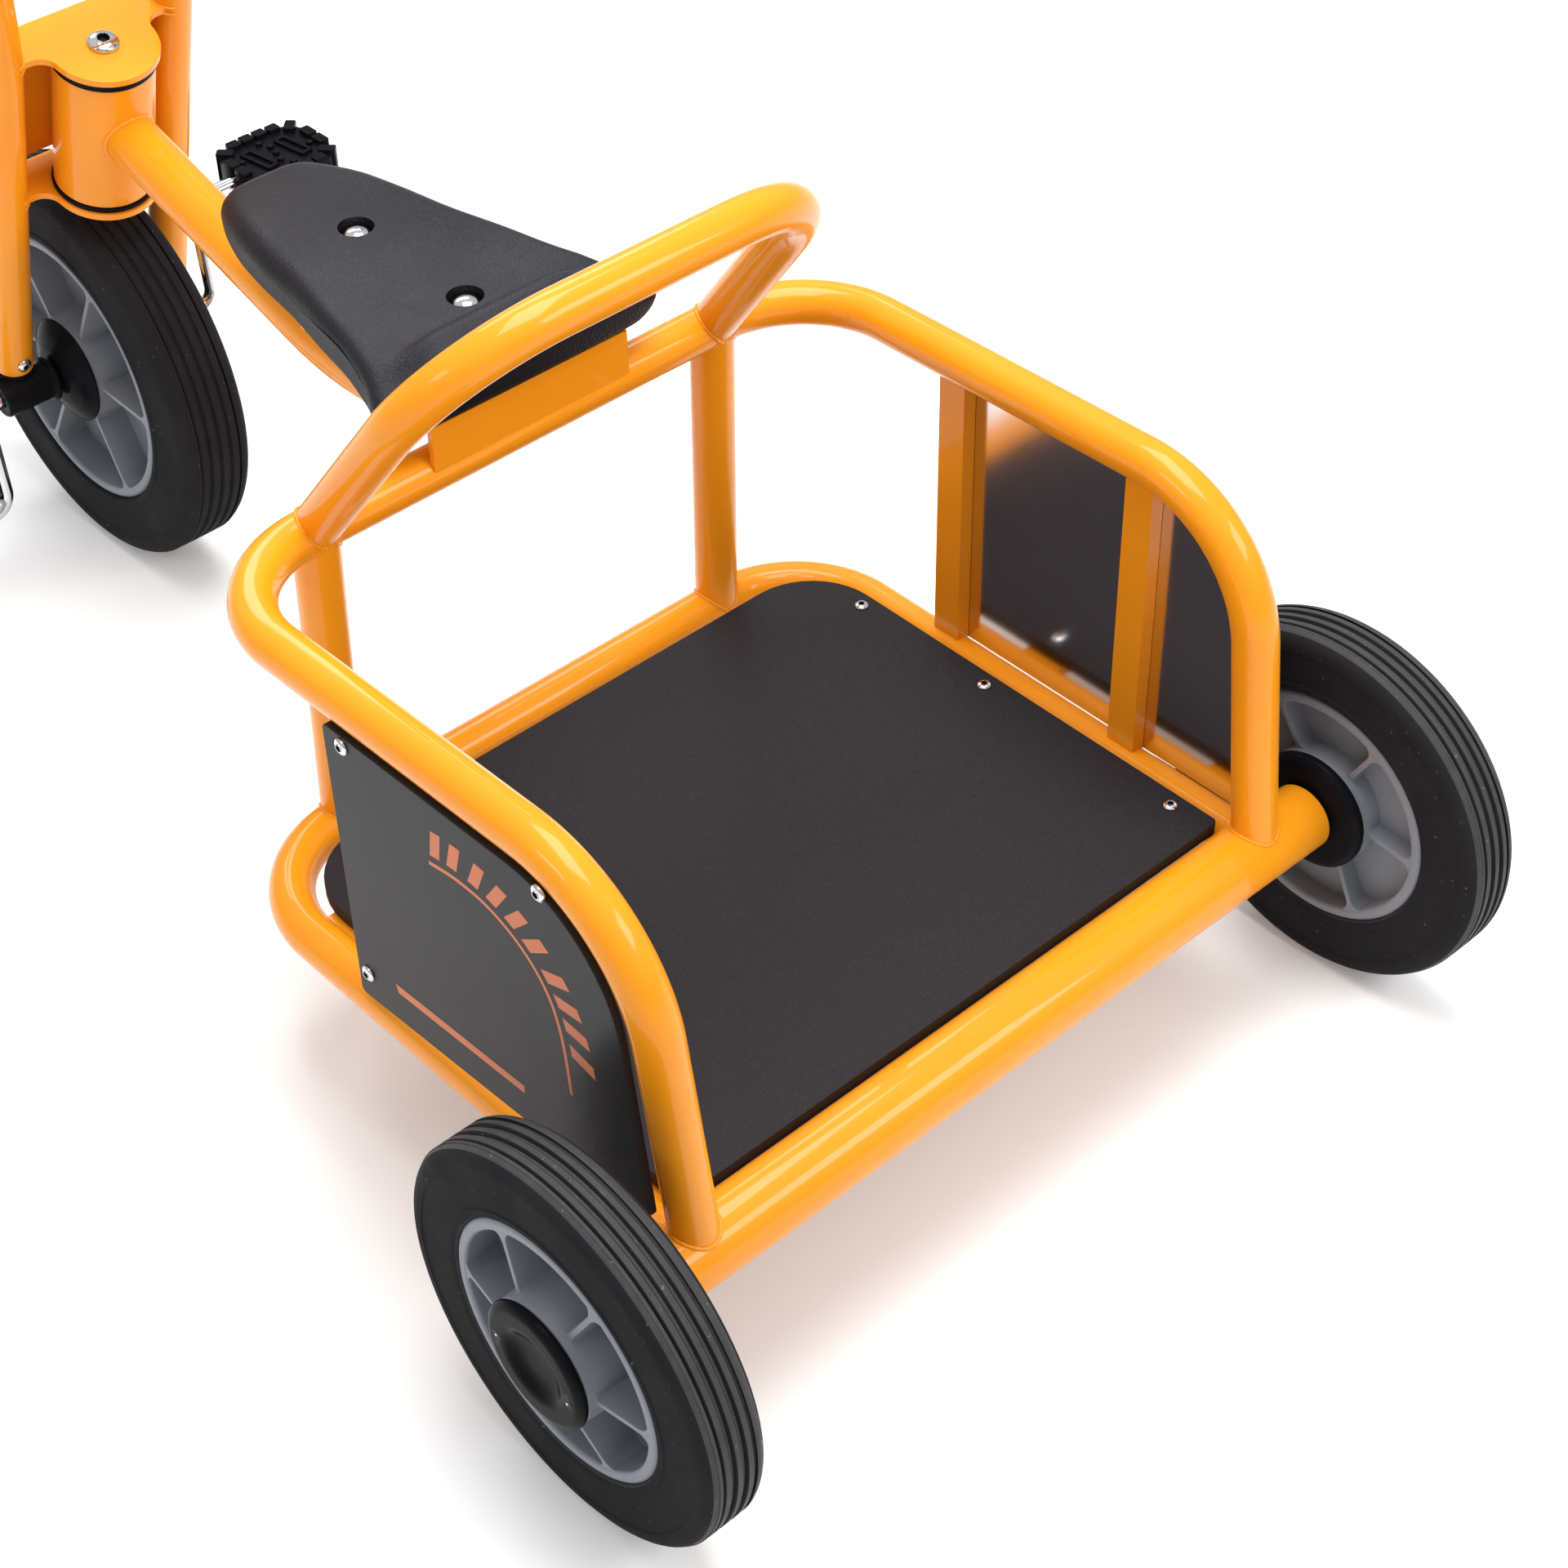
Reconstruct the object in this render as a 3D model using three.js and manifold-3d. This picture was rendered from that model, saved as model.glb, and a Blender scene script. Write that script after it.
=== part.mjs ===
// Child's tricycle with a railed cargo deck over the rear axle and a saddle for the rider in front of it.
// Millimetres, +Z up, +X to the rider's left. The rider faces -Y. The origin is on the ground,
// half way between the front of the front tyre and the back of the rear tyres.

import * as THREE from "three";
import { mergeVertices } from "three/addons/utils/BufferGeometryUtils.js";
import Module from "manifold-3d";

const wasm = await Module();
wasm.setup();

// ---------------------------------------------------------------- driving dimensions

const GAP = 0.3; // clearance between two pieces that touch
const WELD_GAP = 0.5; // clearance of a tube end that is coped round another tube
const STOP_SHORT = 6; // how far short of the other tube's axis a coped tube ends
const TUBE_R = 14; // frame tube, 28 mm outside
const TUBE_SIDES = 12;

const REAR_TYRE = { radius: 122, bore: 80.5, halfWidth: 20.5, shoulder: 11 };
const FRONT_TYRE = { radius: 149.5, bore: 102.5, halfWidth: 28, shoulder: 11 };
const TYRE_SIDES = 32;
const FACET = Math.cos(Math.PI / TYRE_SIDES); // a tyre stands on the middle of one of its facets
const AXLE_Z = REAR_TYRE.radius * FACET;
const WHEEL_X = 301; // middle plane of a rear wheel

const AXLE_TUBE = { radius: 21.5, bore: 18.5, halfLength: 270 };
const AXLE_SHAFT = { radius: 6, halfLength: 325 };

const LOWER_RAIL = { x: 229, frontY: -405, z: 120, cornerR: 74 };
const UPPER_RAIL = { x: 228, footX: 223, footY: 2, kneeY: -27, kneeZ: 353, frontY: -396, frontZ: 344 };
const UPPER_CORNER_R = 74;
const KNEE_R = 92;
const POST = { footX: 153, headX: 150 };
const HOOP = { footX: 150, topX: 139, topY: -272, topZ: 505, cornerR: 84 };

const DECK = { halfWidth: 214, frontY: -374, rearY: -20.3, top: 139, thickness: 9.6, cornerR: 50 };
const BEARER = { ys: [-318, -207, -49], width: 30, thickness: 8 };
const BAR = { x: 232, width: 21, depth: 10, leftYs: [-256, -92], rightYs: [-264, -112] };
const PANEL = { frontY: -265, thickness: 5, railInset: 10.8 };
// Heights of the bottom edge of each side panel at its two ends.
const PANEL_FOOT = {
  left: { corners: [[-265, 135]], rearZ: 151 },
  right: { corners: [[-265, 131.7], [-29, 131.7]], rearZ: 148 },
};

const STEER = { y: -832, z: 370, tilt: THREE.MathUtils.degToRad(16.1) }; // a point of the steering axis
const HEAD = { radius: 33.6, bore: 25.5, low: -51.5, high: 54.5 };
const HEAD_BUSH = { flangeR: 34.6, flange: 2.4, depth: 22, bore: 6.4 };
const YOKE = { lobeR: 36.5, halfWidth: 62, rear: 9, front: 41, plate: 5, web: 4 };
const STEER_BOLT = { radius: 6, headR: 10.5, headHeight: 4.8 };

const LEG = { x: 65, forward: 18, gapToAxle: 17 };
const RISER = { bendS: 66, topX: 80, topForward: 16, topS: 200 };
const HANDLE = { x: 215, forward: -75, s: 222, gripR: 17.5, gripLength: 105 };
const BRACE = { s: 150, radius: 8 };
const FRONT_AXLE_FORWARD = 6; // the front axle lies this far ahead of the steering axis
const CRANK = { radius: 5.5, armX: 99, arm: 83, lean: THREE.MathUtils.degToRad(-4.8), bendR: 14, endX: 208 };
const PEDAL = { innerX: 136, outerX: 213, length: 70, thickness: 24 };
const HOUSING = { innerX: 43, outerX: 84, radius: 13.5, flangeR: 16.5, flange: 3 };

const MAIN_TUBE = { radius: 18, dropSlope: 0.296, startZ: 375.8, riseSlope: 0.3, bendR: 200 };
const SADDLE = { bottom: 381, top: 411, bolts: [-546, -440], recessR: 11, recess: 7 };
const BRACKET = { rearY: -383, frontY: -600, rearHalf: 73, frontHalf: 30, frontFlangeHalf: 15, plate: 4 };

const STEEL_YELLOW = { color: 0xfaa321, roughness: 0.25, metalness: 0.1 };
const CHROME = { color: 0xd8dadd, roughness: 0.12, metalness: 1 };
const RUBBER = { color: 0x2a2a2c, roughness: 0.75, metalness: 0 };
const BLACK_PLASTIC = { color: 0x1d1d20, roughness: 0.45, metalness: 0 };
const GREY_PLASTIC = { color: 0x737882, roughness: 0.5, metalness: 0 };
const BOARD_BLACK = { color: 0x2d2b2d, roughness: 0.55, metalness: 0 };
const SADDLE_BLACK = { color: 0x232327, roughness: 0.6, metalness: 0 };

// ---------------------------------------------------------------- solids and booleans

const V = (x, y, z) => new THREE.Vector3(x, y, z);

function toSolid(geometry) {
  const bare = new THREE.BufferGeometry();
  bare.setAttribute("position", geometry.getAttribute("position").clone());
  if (geometry.index) bare.setIndex(geometry.index.clone());
  const merged = mergeVertices(bare, 1e-4);
  return new wasm.Manifold(
    new wasm.Mesh({
      numProp: 3,
      vertProperties: Float32Array.from(merged.getAttribute("position").array),
      triVerts: Uint32Array.from(merged.index.array),
    }),
  );
}

function toGeometry(solid) {
  const mesh = solid.getMesh();
  const geometry = new THREE.BufferGeometry();
  geometry.setAttribute("position", new THREE.BufferAttribute(mesh.vertProperties, 3));
  geometry.setIndex(new THREE.BufferAttribute(mesh.triVerts, 1));
  return geometry;
}

const cut = (body, ...tools) =>
  toGeometry(tools.reduce((solid, tool) => solid.subtract(toSolid(tool)), toSolid(body)));

const join = (body, ...others) =>
  toGeometry(others.reduce((solid, other) => solid.add(toSolid(other)), toSolid(body)));

// Turns every triangle over when the mesh encloses a negative volume.
function outward(geometry) {
  const merged = mergeVertices(new THREE.BufferGeometry().copy(geometry).deleteAttribute("normal")
    .deleteAttribute("uv"), 1e-4);
  const at = merged.getAttribute("position");
  const index = merged.index.array;
  const [a, b, c] = [V(), V(), V()];
  let volume = 0;
  for (let i = 0; i < index.length; i += 3) {
    a.fromBufferAttribute(at, index[i]);
    b.fromBufferAttribute(at, index[i + 1]);
    c.fromBufferAttribute(at, index[i + 2]);
    volume += a.dot(b.cross(c)) / 6;
  }
  if (volume < 0) {
    for (let i = 0; i < index.length; i += 3) {
      [index[i], index[i + 1]] = [index[i + 1], index[i]];
    }
  }
  return merged;
}

// ---------------------------------------------------------------- basic shapes

// A path of straight runs joined by circular bends, with its stations only where it turns.
class BentPath extends THREE.Curve {
  constructor(corners, bendRadii, stepAngle = THREE.MathUtils.degToRad(20)) {
    super();
    this.stations = [];
    const heading = (i) => corners[i + 1].clone().sub(corners[i]).normalize();
    this.addStation(corners[0], heading(0));
    for (let i = 1; i < corners.length - 1; i++) {
      this.addBend(corners[i], heading(i - 1), heading(i), bendRadii[i - 1], stepAngle);
    }
    this.addStation(corners.at(-1), heading(corners.length - 2));
  }

  addStation(point, tangent) {
    this.stations.push({ point: point.clone(), tangent: tangent.clone() });
  }

  addBend(corner, before, after, radius, stepAngle) {
    const turn = before.angleTo(after);
    const inward = after.clone().addScaledVector(before, -before.dot(after)).normalize();
    const start = corner.clone().addScaledVector(before, -radius * Math.tan(turn / 2));
    const centre = start.clone().addScaledVector(inward, radius);
    const steps = Math.max(2, Math.ceil(turn / stepAngle));
    for (let k = 0; k <= steps; k++) {
      const angle = (turn * k) / steps;
      const point = centre.clone().addScaledVector(inward, -radius * Math.cos(angle))
        .addScaledVector(before, radius * Math.sin(angle));
      const tangent = before.clone().multiplyScalar(Math.cos(angle))
        .addScaledVector(inward, Math.sin(angle));
      this.addStation(point, tangent);
    }
  }

  get steps() {
    return this.stations.length - 1;
  }

  getPointAt(u) {
    return this.stations[Math.round(u * this.steps)].point.clone();
  }

  getTangentAt(u) {
    return this.stations[Math.round(u * this.steps)].tangent.clone();
  }
}

function circleSection(radius, sides) {
  const points = [];
  for (let i = 0; i < sides; i++) {
    const angle = (2 * Math.PI * i) / sides;
    points.push(new THREE.Vector2(radius * Math.cos(angle), radius * Math.sin(angle)));
  }
  return new THREE.Shape(points);
}

function tube(corners, bendRadii, radius = TUBE_R, sides = TUBE_SIDES) {
  const path = new BentPath(corners, bendRadii);
  const options = { steps: path.steps, extrudePath: path, bevelEnabled: false };
  return outward(new THREE.ExtrudeGeometry(circleSection(radius, sides), options));
}

// The same corners with both ends drawn back along their runs, clear of the far side of the joint.
function stopShort(corners) {
  const shifted = corners.map((corner) => corner.clone());
  const pull = (end, next) => end.add(next.clone().sub(end).setLength(STOP_SHORT));
  pull(shifted[0], corners[1]);
  pull(shifted.at(-1), corners.at(-2));
  return shifted;
}

// A solid of revolution about Z, from [radius, height] pairs that start and end on the axis or close.
function turned(profile, sides, start = 0) {
  const points = profile.map(([radius, height]) => new THREE.Vector2(radius, height));
  return outward(new THREE.LatheGeometry(points, sides, start).rotateX(Math.PI / 2));
}

// A ring about Z with a square section.
const ring = (outer, inner, low, high, sides) =>
  turned([[inner, low], [outer, low], [outer, high], [inner, high], [inner, low]], sides);

const rod = (radius, low, high, sides) =>
  turned([[0, low], [radius, low], [radius, high], [0, high]], sides);

const nut = (radius, bore, low, high) =>
  cut(rod(radius, low, high, 6), rod(bore, low - 1, high + 1, 16));

function box(x0, x1, y0, y1, z0, z1) {
  return new THREE.BoxGeometry(x1 - x0, y1 - y0, z1 - z0)
    .translate((x0 + x1) / 2, (y0 + y1) / 2, (z0 + z1) / 2);
}

// A closed outline through the corners, each rounded with its own radius.
function roundedShape(corners, radii, segments = 6) {
  const outline = [];
  corners.forEach((corner, i) => {
    const before = corners.at(i - 1).clone().sub(corner).normalize();
    const after = corners[(i + 1) % corners.length].clone().sub(corner).normalize();
    if (radii[i] === 0) {
      outline.push(corner.clone());
      return;
    }
    const half = Math.acos(before.dot(after)) / 2;
    const centre = before.clone().add(after).normalize().multiplyScalar(radii[i] / Math.sin(half)).add(corner);
    const first = before.clone().multiplyScalar(radii[i] / Math.tan(half)).add(corner).sub(centre);
    const turn = (Math.PI - 2 * half) * Math.sign(after.cross(before));
    for (let k = 0; k <= segments; k++) {
      outline.push(first.clone().rotateAround(new THREE.Vector2(), (turn * k) / segments).add(centre));
    }
  });
  return new THREE.Shape(outline);
}

const plate = (shape, thickness, curveSegments = 6) =>
  outward(new THREE.ExtrudeGeometry(shape, { depth: thickness, bevelEnabled: false, curveSegments }));

const mirrored = (geometry) => outward(geometry.clone().scale(-1, 1, 1));

// ---------------------------------------------------------------- assembly

const tricycle = new THREE.Group();
const frame = new THREE.Group();
tricycle.add(frame);

function add(parent, name, geometry, finish) {
  const mesh = new THREE.Mesh(geometry, new THREE.MeshStandardMaterial(finish));
  mesh.name = name;
  parent.add(mesh);
}

// A pair of pieces, the second one the mirror image of the first across the middle plane.
function addPair(parent, name, geometry, finish) {
  add(parent, `${name}_left`, geometry, finish);
  add(parent, `${name}_right`, mirrored(geometry), finish);
}

// ---------------------------------------------------------------- rear axle

const alongX = (geometry) => geometry.rotateY(Math.PI / 2);

function rearAxle() {
  const { radius, bore, halfLength } = AXLE_TUBE;
  const place = (geometry) => alongX(geometry).translate(0, 0, AXLE_Z);
  add(frame, "rear_axle_tube", place(ring(radius, bore, -halfLength, halfLength, 24)), STEEL_YELLOW);
  add(frame, "rear_axle_shaft", place(rod(AXLE_SHAFT.radius, -AXLE_SHAFT.halfLength,
    AXLE_SHAFT.halfLength, 12)), CHROME);
  const shaftHole = AXLE_SHAFT.radius + GAP;
  const plugR = bore - 1;
  const flangeEnd = halfLength + 2;
  const plug = turned([
    [shaftHole, halfLength - 25], [plugR, halfLength - 25], [plugR, halfLength + GAP],
    [radius - 1, halfLength + GAP], [radius - 1, flangeEnd], [shaftHole, flangeEnd],
    [shaftHole, halfLength - 25],
  ], 20);
  addPair(frame, "axle_plug", place(plug), BLACK_PLASTIC);
  const nutLow = WHEEL_X + 13.2;
  addPair(frame, "axle_nut", place(nut(10.5, shaftHole, nutLow, nutLow + 8)), CHROME);
}

// ---------------------------------------------------------------- wheels

// Solid rubber tyre about Z, its section flat on the bore and rounded at both shoulders.
function tyre({ radius, bore, halfWidth, shoulder }) {
  const wall = radius - 1.1 * shoulder;
  const half = [
    [bore, halfWidth - 1.5], [bore + 2, halfWidth], [wall, halfWidth],
    [radius - 0.35 * shoulder, halfWidth - 0.4 * shoulder], [radius, halfWidth - shoulder],
  ];
  const otherHalf = half.map(([r, z]) => [r, -z]).reverse();
  const profile = [...half, ...otherHalf, half[0]];
  return turned(profile, TYRE_SIDES, Math.PI / TYRE_SIDES);
}

// Moulded wheel centre about Z: rim, hub barrel, middle web and six ribs.
function wheelCentre({ rimR, rimHalf, hubR, hubLow, hubHigh, ribHalf }) {
  const rim = ring(rimR, rimR - 7, -rimHalf, rimHalf, TYRE_SIDES);
  const hub = rod(hubR, hubLow, hubHigh, 24);
  const web = rod(rimR - 3.5, -2, 2, TYRE_SIDES);
  const ribs = [];
  for (let i = 0; i < 3; i++) {
    const reach = rimR - 4;
    ribs.push(box(-2, 2, -reach, reach, -ribHalf, ribHalf).rotateZ((i * Math.PI) / 3));
  }
  return join(rim, hub, web, ...ribs);
}

const REAR_HUB = { radius: 38, low: -20, high: 28, bushR: 10, bushHigh: 12.3, recessR: 17 };

function rearWheel(side, turn) {
  const wheel = new THREE.Group();
  wheel.position.set(side * WHEEL_X, 0, AXLE_Z);
  wheel.rotation.y = (side * Math.PI) / 2;
  frame.add(wheel);
  const { radius, low, high, bushR, bushHigh, recessR } = REAR_HUB;
  const shaftHole = AXLE_SHAFT.radius + GAP + 0.1;
  const centre = wheelCentre({
    rimR: REAR_TYRE.bore - 0.5, rimHalf: 19.5, hubR: radius, hubLow: low, hubHigh: high, ribHalf: 15,
  });
  const hubBore = rod(bushR + 0.4, low - 1, high + 1, 16);
  const recess = rod(recessR, bushHigh + GAP, high + 1, 16);
  add(wheel, `rear_tyre_${turn}`, tyre(REAR_TYRE), RUBBER);
  add(wheel, `rear_wheel_centre_${turn}`, cut(centre, hubBore, recess), GREY_PLASTIC);
  add(wheel, `rear_wheel_bush_${turn}`, ring(bushR, shaftHole, low, bushHigh, 16), BLACK_PLASTIC);
  add(wheel, `rear_hub_cap_${turn}`, turned([
    [0, high + GAP], [39.5, high + GAP], [39.5, high + 4.5], [38, high + 6], [23, high + 6],
    [16, high + 3], [0, high + 2.2],
  ], 24), BLACK_PLASTIC);
  add(wheel, `rear_hub_cover_${turn}`, turned([
    [shaftHole, low - 8.2], [36, low - 8.2], [39.5, low - 5], [39.5, low - GAP],
    [shaftHole, low - GAP], [shaftHole, low - 8.2],
  ], 24), BLACK_PLASTIC);
}

// ---------------------------------------------------------------- rear frame

const lowerRailCorners = [
  V(LOWER_RAIL.x, 0, LOWER_RAIL.z), V(LOWER_RAIL.x, LOWER_RAIL.frontY, LOWER_RAIL.z),
  V(-LOWER_RAIL.x, LOWER_RAIL.frontY, LOWER_RAIL.z), V(-LOWER_RAIL.x, 0, LOWER_RAIL.z),
];
const lowerRailBends = [LOWER_RAIL.cornerR, LOWER_RAIL.cornerR];

const upperRailCorners = [
  V(UPPER_RAIL.footX, UPPER_RAIL.footY, AXLE_Z), V(UPPER_RAIL.x, UPPER_RAIL.kneeY, UPPER_RAIL.kneeZ),
  V(UPPER_RAIL.x, UPPER_RAIL.frontY, UPPER_RAIL.frontZ), V(-UPPER_RAIL.x, UPPER_RAIL.frontY, UPPER_RAIL.frontZ),
  V(-UPPER_RAIL.x, UPPER_RAIL.kneeY, UPPER_RAIL.kneeZ), V(-UPPER_RAIL.footX, UPPER_RAIL.footY, AXLE_Z),
];
const upperRailBends = [KNEE_R, UPPER_CORNER_R, UPPER_CORNER_R, KNEE_R];

const mainTubeStart = V(0, STEER.y + (MAIN_TUBE.startZ - STEER.z) * Math.tan(STEER.tilt), MAIN_TUBE.startZ);
const mainTubeEnd = V(0, UPPER_RAIL.frontY, UPPER_RAIL.frontZ);
const mainTubeLowY = (mainTubeStart.z + MAIN_TUBE.dropSlope * mainTubeStart.y - mainTubeEnd.z
  + MAIN_TUBE.riseSlope * mainTubeEnd.y) / (MAIN_TUBE.dropSlope + MAIN_TUBE.riseSlope);
const mainTubeLow = V(0, mainTubeLowY,
  mainTubeStart.z - MAIN_TUBE.dropSlope * (mainTubeLowY - mainTubeStart.y));
const mainTubeCorners = [mainTubeStart, mainTubeLow, mainTubeEnd];

// Cutting tools: the welded-to tubes, each grown by the weld gap.
const axleTool = () => alongX(rod(AXLE_TUBE.radius + WELD_GAP, -400, 400, 24)).translate(0, 0, AXLE_Z);
const lowerRailTool = () => tube(lowerRailCorners, lowerRailBends, TUBE_R + WELD_GAP);
const upperRailTool = () => tube(upperRailCorners, upperRailBends, TUBE_R + WELD_GAP);
const mainTubeTool = () => tube(mainTubeCorners, [MAIN_TUBE.bendR], MAIN_TUBE.radius + WELD_GAP);

function rearRails() {
  add(frame, "lower_rail", cut(tube(lowerRailCorners, lowerRailBends), axleTool()), STEEL_YELLOW);
  add(frame, "upper_rail", cut(tube(upperRailCorners, upperRailBends), axleTool()), STEEL_YELLOW);
  const post = tube(stopShort([
    V(POST.footX, LOWER_RAIL.frontY, LOWER_RAIL.z), V(POST.headX, UPPER_RAIL.frontY, UPPER_RAIL.frontZ),
  ]), []);
  addPair(frame, "front_post", cut(post, lowerRailTool(), upperRailTool()), STEEL_YELLOW);
  const hoop = tube(stopShort([
    V(HOOP.footX, UPPER_RAIL.frontY, UPPER_RAIL.frontZ), V(HOOP.topX, HOOP.topY, HOOP.topZ),
    V(-HOOP.topX, HOOP.topY, HOOP.topZ), V(-HOOP.footX, UPPER_RAIL.frontY, UPPER_RAIL.frontZ),
  ]), [HOOP.cornerR, HOOP.cornerR]);
  add(frame, "backrest_hoop", cut(hoop, upperRailTool()), STEEL_YELLOW);
}

// ---------------------------------------------------------------- deck and side panels

function deck() {
  const { halfWidth, frontY, rearY, top, thickness, cornerR } = DECK;
  const outline = roundedShape([
    new THREE.Vector2(-halfWidth, frontY), new THREE.Vector2(halfWidth, frontY),
    new THREE.Vector2(halfWidth, rearY), new THREE.Vector2(-halfWidth, rearY),
  ], [cornerR, cornerR, 4, 4]);
  add(frame, "deck_board", plate(outline, thickness).translate(0, 0, top - thickness), BOARD_BLACK);
  const bearerTop = top - thickness - GAP;
  const names = ["front", "middle", "rear"];
  BEARER.ys.forEach((y, i) => {
    const bar = box(-LOWER_RAIL.x, LOWER_RAIL.x, y - BEARER.width / 2, y + BEARER.width / 2,
      bearerTop - BEARER.thickness, bearerTop);
    add(frame, `deck_bearer_${names[i]}`, cut(bar, lowerRailTool()), STEEL_YELLOW);
  });
}

// The corner of an outline moved inwards from both of its sides by the same distance.
function insetCorner(before, corner, after, distance) {
  const u = before.clone().sub(corner).normalize();
  const v = after.clone().sub(corner).normalize();
  return u.clone().add(v).multiplyScalar(distance / Math.abs(u.cross(v))).add(corner);
}

function sidePanel(side, { corners, rearZ }) {
  const knee = new THREE.Vector2(UPPER_RAIL.kneeY, UPPER_RAIL.kneeZ);
  const front = new THREE.Vector2(UPPER_RAIL.frontY, UPPER_RAIL.frontZ);
  const foot = new THREE.Vector2(UPPER_RAIL.footY, AXLE_Z);
  const rearTop = insetCorner(front, knee, foot, PANEL.railInset);
  const slopeUp = (knee.y - front.y) / (knee.x - front.x);
  const lean = (foot.x - knee.x) / (knee.y - foot.y);
  const frontTop = new THREE.Vector2(PANEL.frontY, rearTop.y + slopeUp * (PANEL.frontY - rearTop.x));
  const rearFoot = new THREE.Vector2(rearTop.x + lean * (rearTop.y - rearZ), rearZ);
  const footCorners = corners.map(([y, z]) => new THREE.Vector2(y, z));
  const points = [...footCorners, rearFoot, rearTop, frontTop];
  const radii = [...footCorners.map(() => 4), 4, KNEE_R - PANEL.railInset, 4];
  const outline = roundedShape(points, radii);
  // The outline's x and y become the frame's Y and Z, and its thickness runs outwards along X.
  const upright = new THREE.Matrix4().makeBasis(V(0, 1, 0), V(0, 0, 1), V(1, 0, 0));
  const panel = plate(outline, PANEL.thickness).applyMatrix4(upright)
    .translate(BAR.x + BAR.depth / 2 + GAP, 0, 0);
  const fitted = cut(panel, upperRailTool());
  return side > 0 ? fitted : mirrored(fitted);
}

// One of the flat bars that the side panels are screwed to, between the lower and the upper rail.
function panelBar(side, y) {
  const { x, width, depth } = BAR;
  const along = (half) => [y - half, y + half];
  const bar = box(x - depth / 2, x + depth / 2, ...along(width / 2), LOWER_RAIL.z, UPPER_RAIL.kneeZ);
  const overhead = box(x - TUBE_R, x + TUBE_R, ...along(width), UPPER_RAIL.frontZ, UPPER_RAIL.kneeZ + 1);
  const coped = cut(bar, lowerRailTool(), upperRailTool(), overhead);
  return side > 0 ? coped : mirrored(coped);
}

function sides() {
  ["front", "rear"].forEach((name, i) => {
    add(frame, `panel_bar_left_${name}`, panelBar(1, BAR.leftYs[i]), STEEL_YELLOW);
    add(frame, `panel_bar_right_${name}`, panelBar(-1, BAR.rightYs[i]), STEEL_YELLOW);
  });
  add(frame, "side_panel_left", sidePanel(1, PANEL_FOOT.left), BOARD_BLACK);
  add(frame, "side_panel_right", sidePanel(-1, PANEL_FOOT.right), BOARD_BLACK);
}

// ---------------------------------------------------------------- steering frame of reference

// Local +Z runs up the steering axis, +X to the rider's left and -Y forward. The origin is STEER.
const toTrike = new THREE.Matrix4().makeRotationX(-STEER.tilt).setPosition(0, STEER.y, STEER.z);

const head = new THREE.Group();
head.position.set(0, STEER.y, STEER.z);
head.rotation.x = -STEER.tilt;
frame.add(head);

// How far down the steering axis the front axle lies, for the tyre to stand on the ground.
const frontAxleS = (FRONT_TYRE.radius * FACET - STEER.z - FRONT_AXLE_FORWARD * Math.sin(STEER.tilt))
  / Math.cos(STEER.tilt);
const frontAxle = V(0, -FRONT_AXLE_FORWARD, frontAxleS).applyMatrix4(toTrike);

function headTube() {
  const { radius, bore, low, high } = HEAD;
  add(head, "head_tube", ring(radius, bore, low, high, 32), STEEL_YELLOW);
  const { flangeR, flange, depth } = HEAD_BUSH;
  const sleeveR = bore - 0.5;
  const bush = turned([
    [HEAD_BUSH.bore, high - depth], [sleeveR, high - depth], [sleeveR, high + GAP], [flangeR, high + GAP],
    [flangeR, high + flange], [HEAD_BUSH.bore, high + flange], [HEAD_BUSH.bore, high - depth],
  ], 24);
  add(head, "head_bush_upper", bush, BLACK_PLASTIC);
  const lower = outward(bush.clone().scale(1, 1, -1).translate(0, 0, low + high));
  add(head, "head_bush_lower", lower, BLACK_PLASTIC);
}

function mainTube() {
  const headTool = rod(HEAD.radius + WELD_GAP, HEAD.low - 20, HEAD.high + 20, 32).applyMatrix4(toTrike);
  const body = tube(mainTubeCorners, [MAIN_TUBE.bendR], MAIN_TUBE.radius);
  add(frame, "main_tube", cut(body, headTool, upperRailTool()), STEEL_YELLOW);
}

// ---------------------------------------------------------------- saddle

// Half widths of the saddle at stations along Y, from the nose to the rear corner.
const SADDLE_STATIONS = [[14, -650], [36, -634], [50, -606], [58, -570], [64, -530], [72, -492], [79, -455],
  [89, -422], [97, -404]];

function saddleOutline() {
  const half = new THREE.Shape();
  half.moveTo(0, -651);
  half.lineTo(...SADDLE_STATIONS[0]);
  half.splineThru(SADDLE_STATIONS.slice(1).map(([x, y]) => new THREE.Vector2(x, y)));
  half.quadraticCurveTo(104, -385, 80, -383);
  half.quadraticCurveTo(50, -380, 0, -379);
  const points = half.getPoints(3);
  const mirroredPoints = points.slice(1, -1).reverse().map((p) => new THREE.Vector2(-p.x, p.y));
  return new THREE.Shape([...points, ...mirroredPoints]);
}

function saddle() {
  const { bottom, top, bolts, recessR, recess } = SADDLE;
  const roll = 6;
  const block = outward(new THREE.ExtrudeGeometry(saddleOutline(), {
    depth: top - bottom - roll, bevelThickness: roll, bevelSize: roll, bevelOffset: -roll, bevelSegments: 2,
  })).translate(0, 0, bottom);
  const floor = top - recess;
  const holes = bolts.flatMap((y) => [
    rod(recessR, floor, top + 5, 20).translate(0, y, 0),
    rod(3.6, bottom - 20, top, 12).translate(0, y, 0),
  ]);
  const under = box(-200, 200, -700, -300, bottom - 30, bottom);
  add(frame, "saddle", cut(block, under, ...holes), SADDLE_BLACK);
  ["front", "rear"].forEach((name, i) => {
    const bolt = turned([
      [0, bottom - 14], [3.2, bottom - 14], [3.2, floor + GAP], [8, floor + GAP], [8, floor + 2.2],
      [6, floor + 4.2], [0, floor + 4.8],
    ], 16);
    add(frame, `saddle_bolt_${name}`, bolt.translate(0, bolts[i], 0), CHROME);
  });
}

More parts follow.
